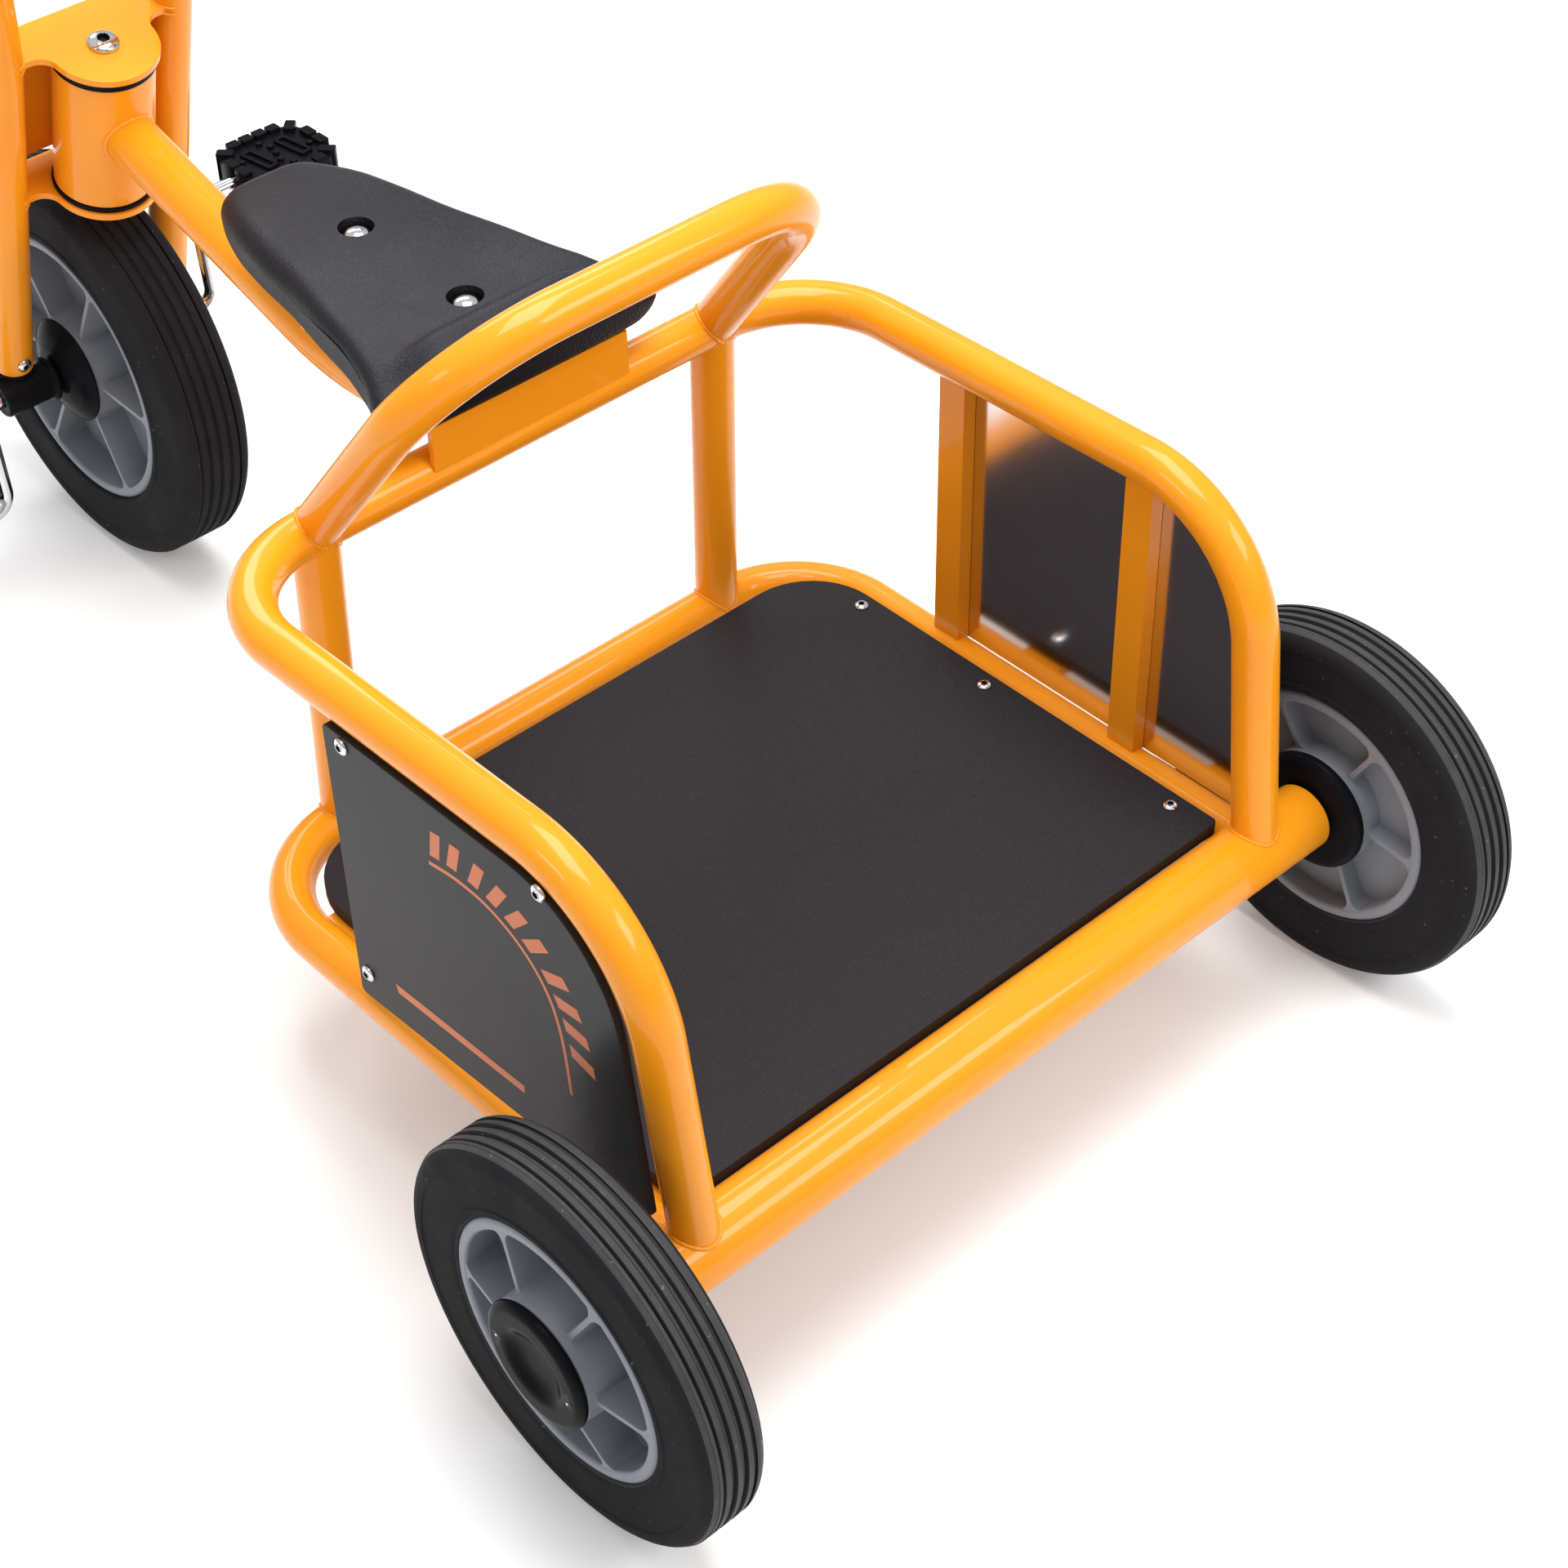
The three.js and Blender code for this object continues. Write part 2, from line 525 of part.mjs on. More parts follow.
function seatBracket() {
  const { rearY, frontY, rearHalf, frontHalf, frontFlangeHalf, plate: sheet } = BRACKET;
  const top = SADDLE.bottom - GAP;
  const tray = plate(new THREE.Shape([
    new THREE.Vector2(-frontHalf, frontY), new THREE.Vector2(frontHalf, frontY),
    new THREE.Vector2(rearHalf, rearY - 60), new THREE.Vector2(rearHalf, rearY),
    new THREE.Vector2(-rearHalf, rearY), new THREE.Vector2(-rearHalf, rearY - 60),
  ]), sheet).translate(0, 0, top - sheet);
  const tubeTop = mainTubeStart.z - MAIN_TUBE.dropSlope * (frontY - mainTubeStart.y) + MAIN_TUBE.radius;
  const rearFlange = box(-rearHalf, rearHalf, rearY - sheet, rearY, UPPER_RAIL.frontZ + TUBE_R / 2, top - 1);
  const frontFlange = box(-frontFlangeHalf, frontFlangeHalf, frontY, frontY + sheet, tubeTop - 9, top - 1);
  const holes = SADDLE.bolts.map((y) => rod(3.6, top - 20, top + 5, 12).translate(0, y, 0));
  const bracket = cut(join(tray, rearFlange, frontFlange), mainTubeTool(), upperRailTool(), ...holes);
  add(frame, "seat_bracket", bracket, STEEL_YELLOW);
}

// ---------------------------------------------------------------- fork and handlebar

const risers = [
  V(LEG.x, -LEG.forward, frontAxleS + LEG.gapToAxle), V(LEG.x, -LEG.forward, RISER.bendS),
  V(RISER.topX, -RISER.topForward, RISER.topS), V(HANDLE.x, -HANDLE.forward, HANDLE.s),
];
const riserBends = [60, 55];
const bothRisers = () => {
  const left = tube(risers, riserBends, TUBE_R + WELD_GAP);
  return [left, mirrored(left)];
};

function forkTubes() {
  const screwS = risers[0].z + 11;
  const screwRear = -LEG.forward + TUBE_R;
  const toRear = (geometry) => geometry.rotateX(-Math.PI / 2).translate(LEG.x, screwRear, screwS);
  const screwHole = toRear(rod(2.7, -11, 5, 10));
  addPair(head, "fork_tube", cut(tube(risers, riserBends), screwHole), STEEL_YELLOW);
  const screw = turned([
    [0, -10], [2.3, -10], [2.3, GAP], [5, GAP], [5, 1.6], [3.4, 3], [0, 3.4],
  ], 12);
  addPair(head, "fork_screw", toRear(screw), CHROME);
}

function grips() {
  const end = risers[3];
  const along = end.clone().sub(risers[2]).normalize();
  const at = (distance) => end.clone().addScaledVector(along, distance);
  const sleeve = tube([at(-HANDLE.gripLength), at(6)], [], HANDLE.gripR);
  const bore = tube([at(-HANDLE.gripLength - 10), at(0.5)], [], TUBE_R + WELD_GAP);
  addPair(head, "grip", cut(sleeve, bore), RUBBER);
}

function yokeOutline() {
  const { lobeR, halfWidth, rear, front } = YOKE;
  const outline = [new THREE.Vector2(halfWidth, -front), new THREE.Vector2(halfWidth, -rear)];
  const neck = THREE.MathUtils.degToRad(12);
  outline.push(new THREE.Vector2(lobeR + 9, -rear));
  for (let i = 0; i <= 14; i++) {
    const angle = -neck + ((Math.PI + 2 * neck) * i) / 14;
    outline.push(new THREE.Vector2(lobeR * Math.cos(angle), lobeR * Math.sin(angle)));
  }
  outline.push(new THREE.Vector2(-lobeR - 9, -rear), new THREE.Vector2(-halfWidth, -rear));
  outline.push(new THREE.Vector2(-halfWidth, -front));
  return new THREE.Shape(outline);
}

const upperPlateS = HEAD.high + HEAD_BUSH.flange + GAP;
const lowerPlateTop = HEAD.low - HEAD_BUSH.flange - GAP;

function yoke() {
  const boltHole = () => rod(STEER_BOLT.radius + GAP, -200, 200, 16);
  const yokePlate = () => cut(plate(yokeOutline(), YOKE.plate), boltHole(),
    ...bothRisers().map((riser) => riser.translate(0, 0, 0.01)));
  const upper = yokePlate().translate(0, 0, upperPlateS);
  add(head, "yoke_plate_upper", cut(upper, ...bothRisers()), STEEL_YELLOW);
  const lower = plate(yokeOutline(), YOKE.plate).translate(0, 0, lowerPlateTop - YOKE.plate);
  add(head, "yoke_plate_lower", cut(lower, boltHole(), ...bothRisers()), STEEL_YELLOW);
  const web = box(-YOKE.halfWidth, YOKE.halfWidth, -YOKE.front, -YOKE.front + YOKE.web,
    lowerPlateTop + 7, upperPlateS - GAP);
  add(head, "yoke_web", cut(web, ...bothRisers()), STEEL_YELLOW);
}

function steeringBolt() {
  const { radius, headR, headHeight } = STEER_BOLT;
  const seat = upperPlateS + YOKE.plate + GAP;
  const nutTop = lowerPlateTop - YOKE.plate - GAP;
  const tip = nutTop - 11;
  add(head, "steering_bolt", turned([
    [0, tip], [radius, tip], [radius, seat], [headR, seat], [headR, seat + 1.5],
    [headR - 3, seat + headHeight - 0.5], [0, seat + headHeight],
  ], 20), CHROME);
  add(head, "steering_nut", nut(11, radius + GAP, nutTop - 9, nutTop), CHROME);
}

function handlebarBrace() {
  const t = (BRACE.s - RISER.bendS) / (RISER.topS - RISER.bendS);
  const reach = THREE.MathUtils.lerp(LEG.x, RISER.topX, t);
  const forward = THREE.MathUtils.lerp(LEG.forward, RISER.topForward, t);
  const bar = alongX(rod(BRACE.radius, -reach, reach, 12)).translate(0, -forward, BRACE.s);
  add(head, "handlebar_brace", cut(bar, ...bothRisers()), STEEL_YELLOW);
}

function axleHousings() {
  const { innerX, outerX, radius, flangeR, flange } = HOUSING;
  const low = frontAxleS;
  const barrel = turned([
    [0, innerX], [flangeR, innerX], [flangeR, innerX + flange], [radius, innerX + flange],
    [radius, outerX], [0, outerX],
  ], 20);
  const onAxle = (geometry) => alongX(geometry).translate(0, -FRONT_AXLE_FORWARD, low);
  const collar = rod(TUBE_R, low, low + LEG.gapToAxle - GAP, TUBE_SIDES).translate(LEG.x, -LEG.forward, 0);
  const bore = onAxle(rod(CRANK.radius + 0.4, innerX - 5, outerX + 5, 16));
  addPair(head, "axle_housing", cut(join(onAxle(barrel), collar), bore), BLACK_PLASTIC);
}

// ---------------------------------------------------------------- front wheel, crank and pedals

const pedalOffset = V(0, CRANK.arm * Math.sin(CRANK.lean), CRANK.arm * Math.cos(CRANK.lean));
const rightPedal = frontAxle.clone().add(pedalOffset);
const leftPedal = frontAxle.clone().sub(pedalOffset);

function frontWheel() {
  const wheel = new THREE.Group();
  wheel.position.copy(frontAxle);
  wheel.rotation.y = Math.PI / 2;
  frame.add(wheel);
  const hubHalf = 27;
  const bore = rod(CRANK.radius + 0.4, -60, 60, 16);
  const centre = wheelCentre({
    rimR: FRONT_TYRE.bore - 0.5, rimHalf: 26, hubR: 38, hubLow: -hubHalf, hubHigh: hubHalf, ribHalf: 20,
  });
  add(wheel, "front_tyre", tyre(FRONT_TYRE), RUBBER);
  add(wheel, "front_wheel_centre", cut(centre, bore), GREY_PLASTIC);
  const near = hubHalf + GAP;
  const cup = cut(turned([
    [0, near], [39.5, near], [39.5, near + 3], [36, near + 6], [20, near + 12], [0, near + 13],
  ], 24), bore);
  add(wheel, "front_hub_cup_left", cup, BLACK_PLASTIC);
  add(wheel, "front_hub_cup_right", outward(cup.clone().scale(1, 1, -1)), BLACK_PLASTIC);
}

function crank() {
  const { armX, endX, radius, bendR } = CRANK;
  const at = (x, point) => V(x, point.y, point.z);
  const corners = [
    at(endX, leftPedal), at(armX, leftPedal), at(armX, frontAxle),
    at(-armX, frontAxle), at(-armX, rightPedal), at(-endX, rightPedal),
  ];
  add(frame, "crank", tube(corners, [bendR, bendR, bendR, bendR], radius, 12), CHROME);
}

function pedal(name, centre, side) {
  const { innerX, outerX, length, thickness } = PEDAL;
  const corner = 22;
  const outline = roundedShape([
    new THREE.Vector2(innerX, -length / 2), new THREE.Vector2(outerX, -length / 2),
    new THREE.Vector2(outerX, length / 2), new THREE.Vector2(innerX, length / 2),
  ], [corner, corner, corner, corner], 4);
  const body = plate(outline, thickness).translate(0, 0, -thickness / 2);
  const bore = alongX(rod(CRANK.radius + 0.4, innerX - 5, CRANK.endX + 0.6, 16));
  const geometry = side > 0 ? cut(body, bore) : mirrored(cut(body, bore));
  add(frame, name, geometry.translate(0, centre.y, centre.z), BLACK_PLASTIC);
}

// ---------------------------------------------------------------- build

rearAxle();
rearWheel(1, "left");
rearWheel(-1, "right");
rearRails();
deck();
sides();
headTube();
mainTube();
seatBracket();
saddle();
forkTubes();
grips();
yoke();
steeringBolt();
handlebarBrace();
axleHousings();
frontWheel();
crank();
pedal("pedal_left", leftPedal, 1);
pedal("pedal_right", rightPedal, -1);

frame.position.y = -(frontAxle.y - FRONT_TYRE.radius * FACET + REAR_TYRE.radius * FACET) / 2;
tricycle.updateMatrixWorld(true);

export default tricycle;
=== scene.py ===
"""Visual model of the child's tricycle with a railed cargo deck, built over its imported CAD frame."""
from math import cos, degrees, hypot, pi, radians, sin, sqrt, tan

import bpy
import bmesh
from mathutils import Matrix, Vector, geometry


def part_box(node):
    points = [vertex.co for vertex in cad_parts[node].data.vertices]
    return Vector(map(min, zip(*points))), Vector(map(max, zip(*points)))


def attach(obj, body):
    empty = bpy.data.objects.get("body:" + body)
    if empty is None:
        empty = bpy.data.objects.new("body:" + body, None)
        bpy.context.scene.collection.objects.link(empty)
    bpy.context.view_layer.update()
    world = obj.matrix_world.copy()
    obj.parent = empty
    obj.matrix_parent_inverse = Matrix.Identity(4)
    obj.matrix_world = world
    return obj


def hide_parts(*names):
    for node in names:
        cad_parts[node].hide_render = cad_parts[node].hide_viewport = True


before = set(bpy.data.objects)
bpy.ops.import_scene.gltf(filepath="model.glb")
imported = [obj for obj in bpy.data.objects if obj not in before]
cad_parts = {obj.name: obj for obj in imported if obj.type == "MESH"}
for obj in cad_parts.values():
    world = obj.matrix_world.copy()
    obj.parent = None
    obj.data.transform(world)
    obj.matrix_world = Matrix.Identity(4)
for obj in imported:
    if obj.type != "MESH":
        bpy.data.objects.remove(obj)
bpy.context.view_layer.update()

# ------------------------------------------------------------------ places, all in millimetres

AXLE_LOW, AXLE_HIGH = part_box("rear_axle_tube")
AXLE_Y = (AXLE_LOW.y + AXLE_HIGH.y) / 2
AXLE_Z = (AXLE_LOW.z + AXLE_HIGH.z) * 500
TILT = radians(16.1)
TUBE_R = 14.0
SIDES = ((1, "left"), (-1, "right"))


def at(x, y, z):
    """A point given from the ground below the middle of the rear axle: x left, y rearward, z up."""
    return Vector((x / 1000, y / 1000 + AXLE_Y, z / 1000))


def mm(x, y, z):
    """A vector in metres from millimetres."""
    return Vector((x / 1000, y / 1000, z / 1000))


STEERING = Matrix.Translation(at(0, -832, 370)) @ Matrix.Rotation(-TILT, 4, "X")


def steer(x, forward, s):
    """A point given from the steering axis: x left, forward of the axis, s up along it."""
    return STEERING @ mm(x, -forward, s)


def mirrored(points):
    """The same points on the other side of the tricycle's middle."""
    return [Vector((-p.x, p.y, p.z)) for p in points]


def middle(node):
    """The centre of a CAD node's box."""
    low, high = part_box(node)
    return (low + high) / 2


FRONT_AXLE = middle("front_tyre")
PEDALS = {side: middle(f"pedal_{side}") for side in ("left", "right")}

# ------------------------------------------------------------------ materials


class Finish:
    """A procedural material: one principled shader with bump, mottled tone, painted shade where asked, and
    roughness variation.
    """

    def __init__(self, name, color, roughness, **sockets):
        self.material = bpy.data.materials.new(name)
        self.material.use_nodes = True
        self.tree = self.material.node_tree
        self.shader = self.tree.nodes["Principled BSDF"]
        self.color = color
        self.shader.inputs["Base Color"].default_value = (*color, 1)
        self.shader.inputs["Roughness"].default_value = roughness
        for socket, value in sockets.items():
            self.shader.inputs[socket.replace("_", " ")].default_value = value
        self.coords = self.add("ShaderNodeTexCoord").outputs["Object"]
        self.normal = None

    def add(self, kind, **settings):
        node = self.tree.nodes.new(kind)
        for key, value in settings.items():
            if key in node.inputs:
                node.inputs[key].default_value = value
            else:
                setattr(node, key, value)
        return node

    def link(self, source, target):
        self.tree.links.new(source, target)

    def noise(self, scale, detail=3.0, roughness=0.55):
        node = self.add("ShaderNodeTexNoise", Scale=scale, Detail=detail, Roughness=roughness)
        self.link(self.coords, node.inputs["Vector"])
        return node.outputs["Fac"]

    def cells(self, scale):
        node = self.add("ShaderNodeTexVoronoi", Scale=scale)
        self.link(self.coords, node.inputs["Vector"])
        return node.outputs["Distance"]

    def ramp(self, source, low, high, low_value, high_value):
        limits = {"From Min": low, "From Max": high, "To Min": low_value, "To Max": high_value}
        node = self.add("ShaderNodeMapRange", **limits)
        self.link(source, node.inputs["Value"])
        return node.outputs["Result"]

    def bump(self, height, strength, distance):
        node = self.add("ShaderNodeBump", Strength=strength, Distance=distance)
        self.link(height, node.inputs["Height"])
        if self.normal is not None:
            self.link(self.normal, node.inputs["Normal"])
        self.normal = node.outputs["Normal"]
        self.link(self.normal, self.shader.inputs["Normal"])
        return self

    def mix_in_tone_and_shade(self, fac, other):
        """Mixes a second colour into the base by a 0 to 1 factor: random tone patches, and on the saddle
        painted shade.
        """
        node = self.add("ShaderNodeMix", data_type="RGBA")
        color_a, color_b = [socket for socket in node.inputs if socket.type == "RGBA"]
        color_a.default_value = (*self.color, 1)
        color_b.default_value = (*other, 1)
        base = self.shader.inputs["Base Color"]
        if base.is_linked:
            self.link(base.links[0].from_socket, color_a)
        self.link(fac, node.inputs[0])
        self.link([socket for socket in node.outputs if socket.type == "RGBA"][0], base)
        return self

    def patches(self, noise, low, high, share, other):
        """Mixes in up to a share of a second colour where a noise goes from low to high."""
        return self.mix_in_tone_and_shade(self.ramp(self.noise(*noise), low, high, 0, share), other)

    def vary_roughness(self, noise, low, high):
        self.link(self.ramp(self.noise(*noise), 0.3, 0.7, low, high), self.shader.inputs["Roughness"])
        return self


def make_finishes():
    paint = Finish("orange_powder_coat", (0.88, 0.31, 0.009), 0.3, Specular_IOR_Level=0.12,
                   Coat_Weight=0.42, Coat_Roughness=0.05)
    paint.patches((9, 2), 0.35, 0.65, 0.4, (0.84, 0.265, 0.006))
    paint.bump(paint.noise(420, 2), 0.05, 0.0006).bump(paint.noise(28, 2), 0.05, 0.004)

    board = Finish("black_film_board", (0.0195, 0.017, 0.0195), 0.55, Specular_IOR_Level=0.1)
    board.patches((1500, 2), 0.5, 0.72, 0.7, (0.042, 0.038, 0.042))
    board.vary_roughness((6, 3), 0.5, 0.6)
    board.bump(board.cells(900), 0.22, 0.0005)

    panel = Finish("black_smooth_panel", (0.018, 0.0165, 0.017), 0.26, Specular_IOR_Level=0.09)
    panel.patches((1300, 2), 0.55, 0.75, 0.35, (0.04, 0.037, 0.038))
    panel.vary_roughness((14, 4), 0.24, 0.31)
    panel.bump(panel.noise(260, 3), 0.05, 0.0004)

    sheet = Finish("polished_panel_back", (0.8, 0.78, 0.79), 0.14, Metallic=1.0)
    sheet.vary_roughness((10, 3), 0.12, 0.17)
    sheet.bump(sheet.noise(40, 2), 0.03, 0.001)

    edge = Finish("board_edge", (0.012, 0.01, 0.01), 0.6, Specular_IOR_Level=0.3)
    edge.patches((500, 4, 0.7), 0.6, 0.7, 0.5, (0.09, 0.08, 0.075))
    edge.bump(edge.noise(300, 4), 0.4, 0.0006)

    rubber = Finish("tyre_rubber", (0.018, 0.0175, 0.0195), 0.5, Specular_IOR_Level=0.012)
    rubber.patches((26, 5, 0.65), 0.4, 0.75, 0.45, (0.028, 0.0272, 0.0295))
    rubber.patches((300, 2), 0.71, 0.77, 0.6, (0.16, 0.15, 0.15))
    rubber.vary_roughness((30, 4), 0.46, 0.62)
    rubber.bump(rubber.noise(700, 3), 0.2, 0.0005)

    tread = Finish("tyre_tread", (0.048, 0.047, 0.05), 0.62, Specular_IOR_Level=0.1)
    tread.patches((60, 5, 0.7), 0.42, 0.7, 0.6, (0.068, 0.066, 0.068))
    tread.patches((300, 2), 0.7, 0.76, 0.6, (0.2, 0.19, 0.19))
    tread.vary_roughness((40, 4), 0.5, 0.66)
    tread.bump(tread.noise(800, 3), 0.3, 0.0005)

    grey = Finish("grey_moulding", (0.2, 0.215, 0.245), 0.42, Specular_IOR_Level=0.3)
    grey.patches((40, 4), 0.4, 0.7, 0.35, (0.21, 0.225, 0.255))
    grey.bump(grey.noise(900, 2), 0.12, 0.0004)

    black = Finish("black_moulding", (0.0068, 0.0066, 0.0084), 0.2, Specular_IOR_Level=0.025)
    black.patches((60, 4), 0.45, 0.75, 0.4, (0.01, 0.01, 0.012))
    black.vary_roughness((50, 3), 0.16, 0.26)
    black.bump(black.noise(800, 3), 0.1, 0.0004)

    saddle = Finish("saddle_skin", (0.0125, 0.0122, 0.0165), 0.4, Specular_IOR_Level=0.17)
    saddle.patches((900, 2), 0.52, 0.74, 0.55, (0.045, 0.043, 0.056))
    # Painted shade: faces that turn away from up, the saddle's sides, are mixed up to 80 % towards
    # near-black.
    split = saddle.add("ShaderNodeSeparateXYZ")
    saddle.link(saddle.add("ShaderNodeNewGeometry").outputs["Normal"], split.inputs["Vector"])
    saddle.mix_in_tone_and_shade(saddle.ramp(split.outputs["Z"], 0.3, 0.92, 0.8, 0), (0.003, 0.003, 0.004))
    saddle.vary_roughness((20, 3), 0.38, 0.48)
    saddle.bump(saddle.cells(760), 0.35, 0.0006).bump(saddle.noise(90, 3), 0.06, 0.001)

    chrome = Finish("chrome_plate", (0.62, 0.63, 0.65), 0.1, Metallic=1.0)
    chrome.vary_roughness((120, 3), 0.06, 0.14)
    chrome.bump(chrome.noise(500, 2), 0.03, 0.0003)

    socket = Finish("socket_shadow", (0.006, 0.006, 0.007), 0.5, Specular_IOR_Level=0.2)
    socket.bump(socket.noise(900, 2), 0.1, 0.0003)

    print_ink = Finish("terracotta_print", (0.62, 0.175, 0.066), 0.42, Specular_IOR_Level=0.2)
    print_ink.patches((700, 3), 0.5, 0.75, 0.3, (0.45, 0.12, 0.045))
    print_ink.bump(print_ink.noise(600, 2), 0.08, 0.0003)

    floor = Finish("pale_floor", (0.92, 0.92, 0.92), 0.85, Specular_IOR_Level=0.1,
                   Emission_Color=(1, 1, 1, 1), Emission_Strength=0.13)
    floor.patches((3, 2), 0.4, 0.6, 0.3, (0.9, 0.9, 0.905))
    return {
        "paint": paint, "board": board, "panel": panel, "edge": edge, "rubber": rubber, "tread": tread,
        "grey": grey, "black": black, "saddle": saddle, "chrome": chrome, "socket": socket,
        "print": print_ink, "floor": floor, "sheet": sheet,
    }


FINISH = {name: finish.material for name, finish in make_finishes().items()}

# ------------------------------------------------------------------ pieces


def placed(name, data):
    """An object in the scene that holds a mesh, a lamp or a camera."""
    obj = bpy.data.objects.new(name, data)
    bpy.context.scene.collection.objects.link(obj)
    return obj


def clean_mesh(name, verts, faces):
    """A mesh with its doubled points joined and its faces turned outwards."""
    mesh = bpy.data.meshes.new(name)
    mesh.from_pydata([tuple(v) for v in verts], [], faces)
    mesh.validate()
    bm = bmesh.new()
    bm.from_mesh(mesh)
    bmesh.ops.remove_doubles(bm, verts=bm.verts, dist=1e-6)
    bmesh.ops.recalc_face_normals(bm, faces=bm.faces)
    bm.to_mesh(mesh)
    bm.free()
    return mesh


def piece(name, verts, faces, finish, body="frame", stands_for=(), sharp=35, slot=None):
    """One piece of the visual model, on its body, with its material and the CAD nodes it stands for."""
    mesh = clean_mesh(name, verts, faces)
    mesh.shade_smooth()
    mesh.set_sharp_from_angle(angle=radians(sharp))
    for key in finish.split("+"):
        mesh.materials.append(FINISH[key])
    obj = placed(name, mesh)
    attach(obj, body)
    if stands_for:
        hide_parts(*stands_for)
    return obj


def bevel(obj, width, segments=3, angle=40):
    modifier = obj.modifiers.new("edges", "BEVEL")
    modifier.width = width / 1000
    modifier.segments = segments
    modifier.limit_method = "ANGLE"
    modifier.angle_limit = radians(angle)
    modifier.harden_normals = True
    return obj


def bent(corners, radii, step=4.0):
    """Points along straight runs joined by circular bends; corners in metres, radii in millimetres."""
    points = [corners[0].copy()]
    for before, corner, after, radius in zip(corners, corners[1:], corners[2:], radii):
        u = (corner - before).normalized()
        v = (after - corner).normalized()
        turn = u.angle(v)
        inward = (v - u * u.dot(v)).normalized()
        r = radius / 1000
        start = corner - u * r * tan(turn / 2)
        centre = start + inward * r
        steps = max(3, round(degrees(turn) / step))
        for k in range(steps + 1):
            a = turn * k / steps
            points.append(centre - inward * r * cos(a) + u * r * sin(a))
    points.append(corners[-1].copy())
    return points


def sweep_mesh(points, radius, sides=32, closed=False, swell=None):
    """Verts and faces of a round tube along points, with flat ends unless it closes on itself."""
    count = len(points)
    tangents = []
    for i in range(count):
        ahead = points[(i + 1) % count] if closed or i < count - 1 else points[i]
        behind = points[i - 1] if closed or i > 0 else points[i]
        tangents.append((ahead - behind).normalized())
    side = tangents[0].orthogonal().normalized()
    verts, faces = [], []
    for i, (point, tangent) in enumerate(zip(points, tangents)):
        side = (side - tangent * side.dot(tangent)).normalized()
        other = tangent.cross(side)
        r = (radius if swell is None else radius * swell(i)) / 1000
        for k in range(sides):
            a = 2 * pi * k / sides
            verts.append(point + side * r * cos(a) + other * r * sin(a))
    for i in range(count if closed else count - 1):
        for k in range(sides):
            n = (k + 1) % sides
            j = (i + 1) % count
            faces.append((i * sides + k, i * sides + n, j * sides + n, j * sides + k))
    if not closed:
        faces.append(tuple(range(sides)))
        faces.append(tuple(range((count - 1) * sides, count * sides)))
    return verts, faces


def tube(name, points, radius=TUBE_R, finish="paint", **options):
    verts, faces = sweep_mesh(points, radius)
    return piece(name, verts, faces, finish, **options)


def lathe_mesh(profile, place, sides=96):
    """A solid of revolution about local Z. An entry (r, z, "hex") makes that ring a hexagon."""
    verts, faces, rings = [], [], []
    for r, z, *shape in profile:
        if r < 1e-6:
            rings.append([len(verts)])
            verts.append(place @ mm(0, 0, z))
            continue
        rings.append(list(range(len(verts), len(verts) + sides)))
        for k in range(sides):
            a = 2 * pi * k / sides
            rr = r / cos((a % (pi / 3)) - pi / 6) * cos(pi / 6) if shape else r
            verts.append(place @ mm(rr * cos(a), rr * sin(a), z))
    for one, two in zip(rings, rings[1:]):
        for k in range(sides):
            n = (k + 1) % sides
            loop = [one[k % len(one)], one[n % len(one)], two[n % len(two)], two[k % len(two)]]
            loop = [v for i, v in enumerate(loop) if v not in loop[:i]]
            if len(loop) > 2:
                faces.append(tuple(loop))
    return verts, faces


def lathe(name, profile, place, finish, sides=96, **options):
    verts, faces = lathe_mesh(profile, place, sides)
    return piece(name, verts, faces, finish, **options)


def rounded(profile, radius, steps=4):
    """The profile with each inner corner replaced by an arc of about that radius."""
    out = [profile[0]]
    for before, corner, after in zip(profile, profile[1:], profile[2:]):
        a, b, c = (Vector(p[:2]) for p in (before, corner, after))
        reach = min(radius, (a - b).length * 0.45, (c - b).length * 0.45)
        start = b + (a - b).normalized() * reach
        end = b + (c - b).normalized() * reach
        for k in range(steps + 1):
            t = k / steps
            out.append(tuple(start * (1 - t) ** 2 + b * 2 * t * (1 - t) + end * t ** 2))
    return out + [profile[-1]]


def slab_mesh(outline, low, high, place):
    """An outline in local XY drawn out along local Z, given in millimetres."""
    count = len(outline)
    verts = [place @ mm(x, y, z) for z in (low, high) for x, y in outline]
    faces = [tuple(range(count)), tuple(range(count, 2 * count))]
    faces += [(k, (k + 1) % count, count + (k + 1) % count, count + k) for k in range(count)]
    return verts, faces


def slab(name, outline, low, high, place, finish, edge=0.8, **options):
    verts, faces = slab_mesh(outline, low, high, place)
    return bevel(piece(name, verts, faces, finish, sharp=30, **options), edge)


def merge(parts):
    """Several (verts, faces) as one."""
    verts, faces = [], []
    for part_verts, part_faces in parts:
        base = len(verts)
        verts += part_verts
        faces += [tuple(base + v for v in face) for face in part_faces]
    return verts, faces


def rounded_outline(corners, radii, steps=10):
    """A closed outline with circular corners."""
    out = []
    for i, (corner, radius) in enumerate(zip(corners, radii)):
        b = Vector(corner)
        u = (Vector(corners[i - 1]) - b).normalized()
        v = (Vector(corners[(i + 1) % len(corners)]) - b).normalized()
        half = u.angle(v) / 2
        centre = b + (u + v).normalized() * radius / sin(half)
        first = b + u * radius / tan(half) - centre
        last = b + v * radius / tan(half) - centre
        sweep = first.angle_signed(last)
        for k in range(steps + 1):
            a = -sweep * k / steps
            out.append(tuple(centre + Matrix.Rotation(a, 2) @ first))
    return out


def box_outline(width, height, radius, steps):
    """A closed rectangle about the origin with circular corners."""
    x, y = width / 2, height / 2
    return rounded_outline([(-x, -y), (x, -y), (x, y), (-x, y)], [radius] * 4, steps)


def along_x(centre, side=1):
    """Local Z along +X (side 1) or -X (side -1), from a centre."""
    return Matrix.Translation(centre) @ Matrix.Rotation(side * pi / 2, 4, "Y")


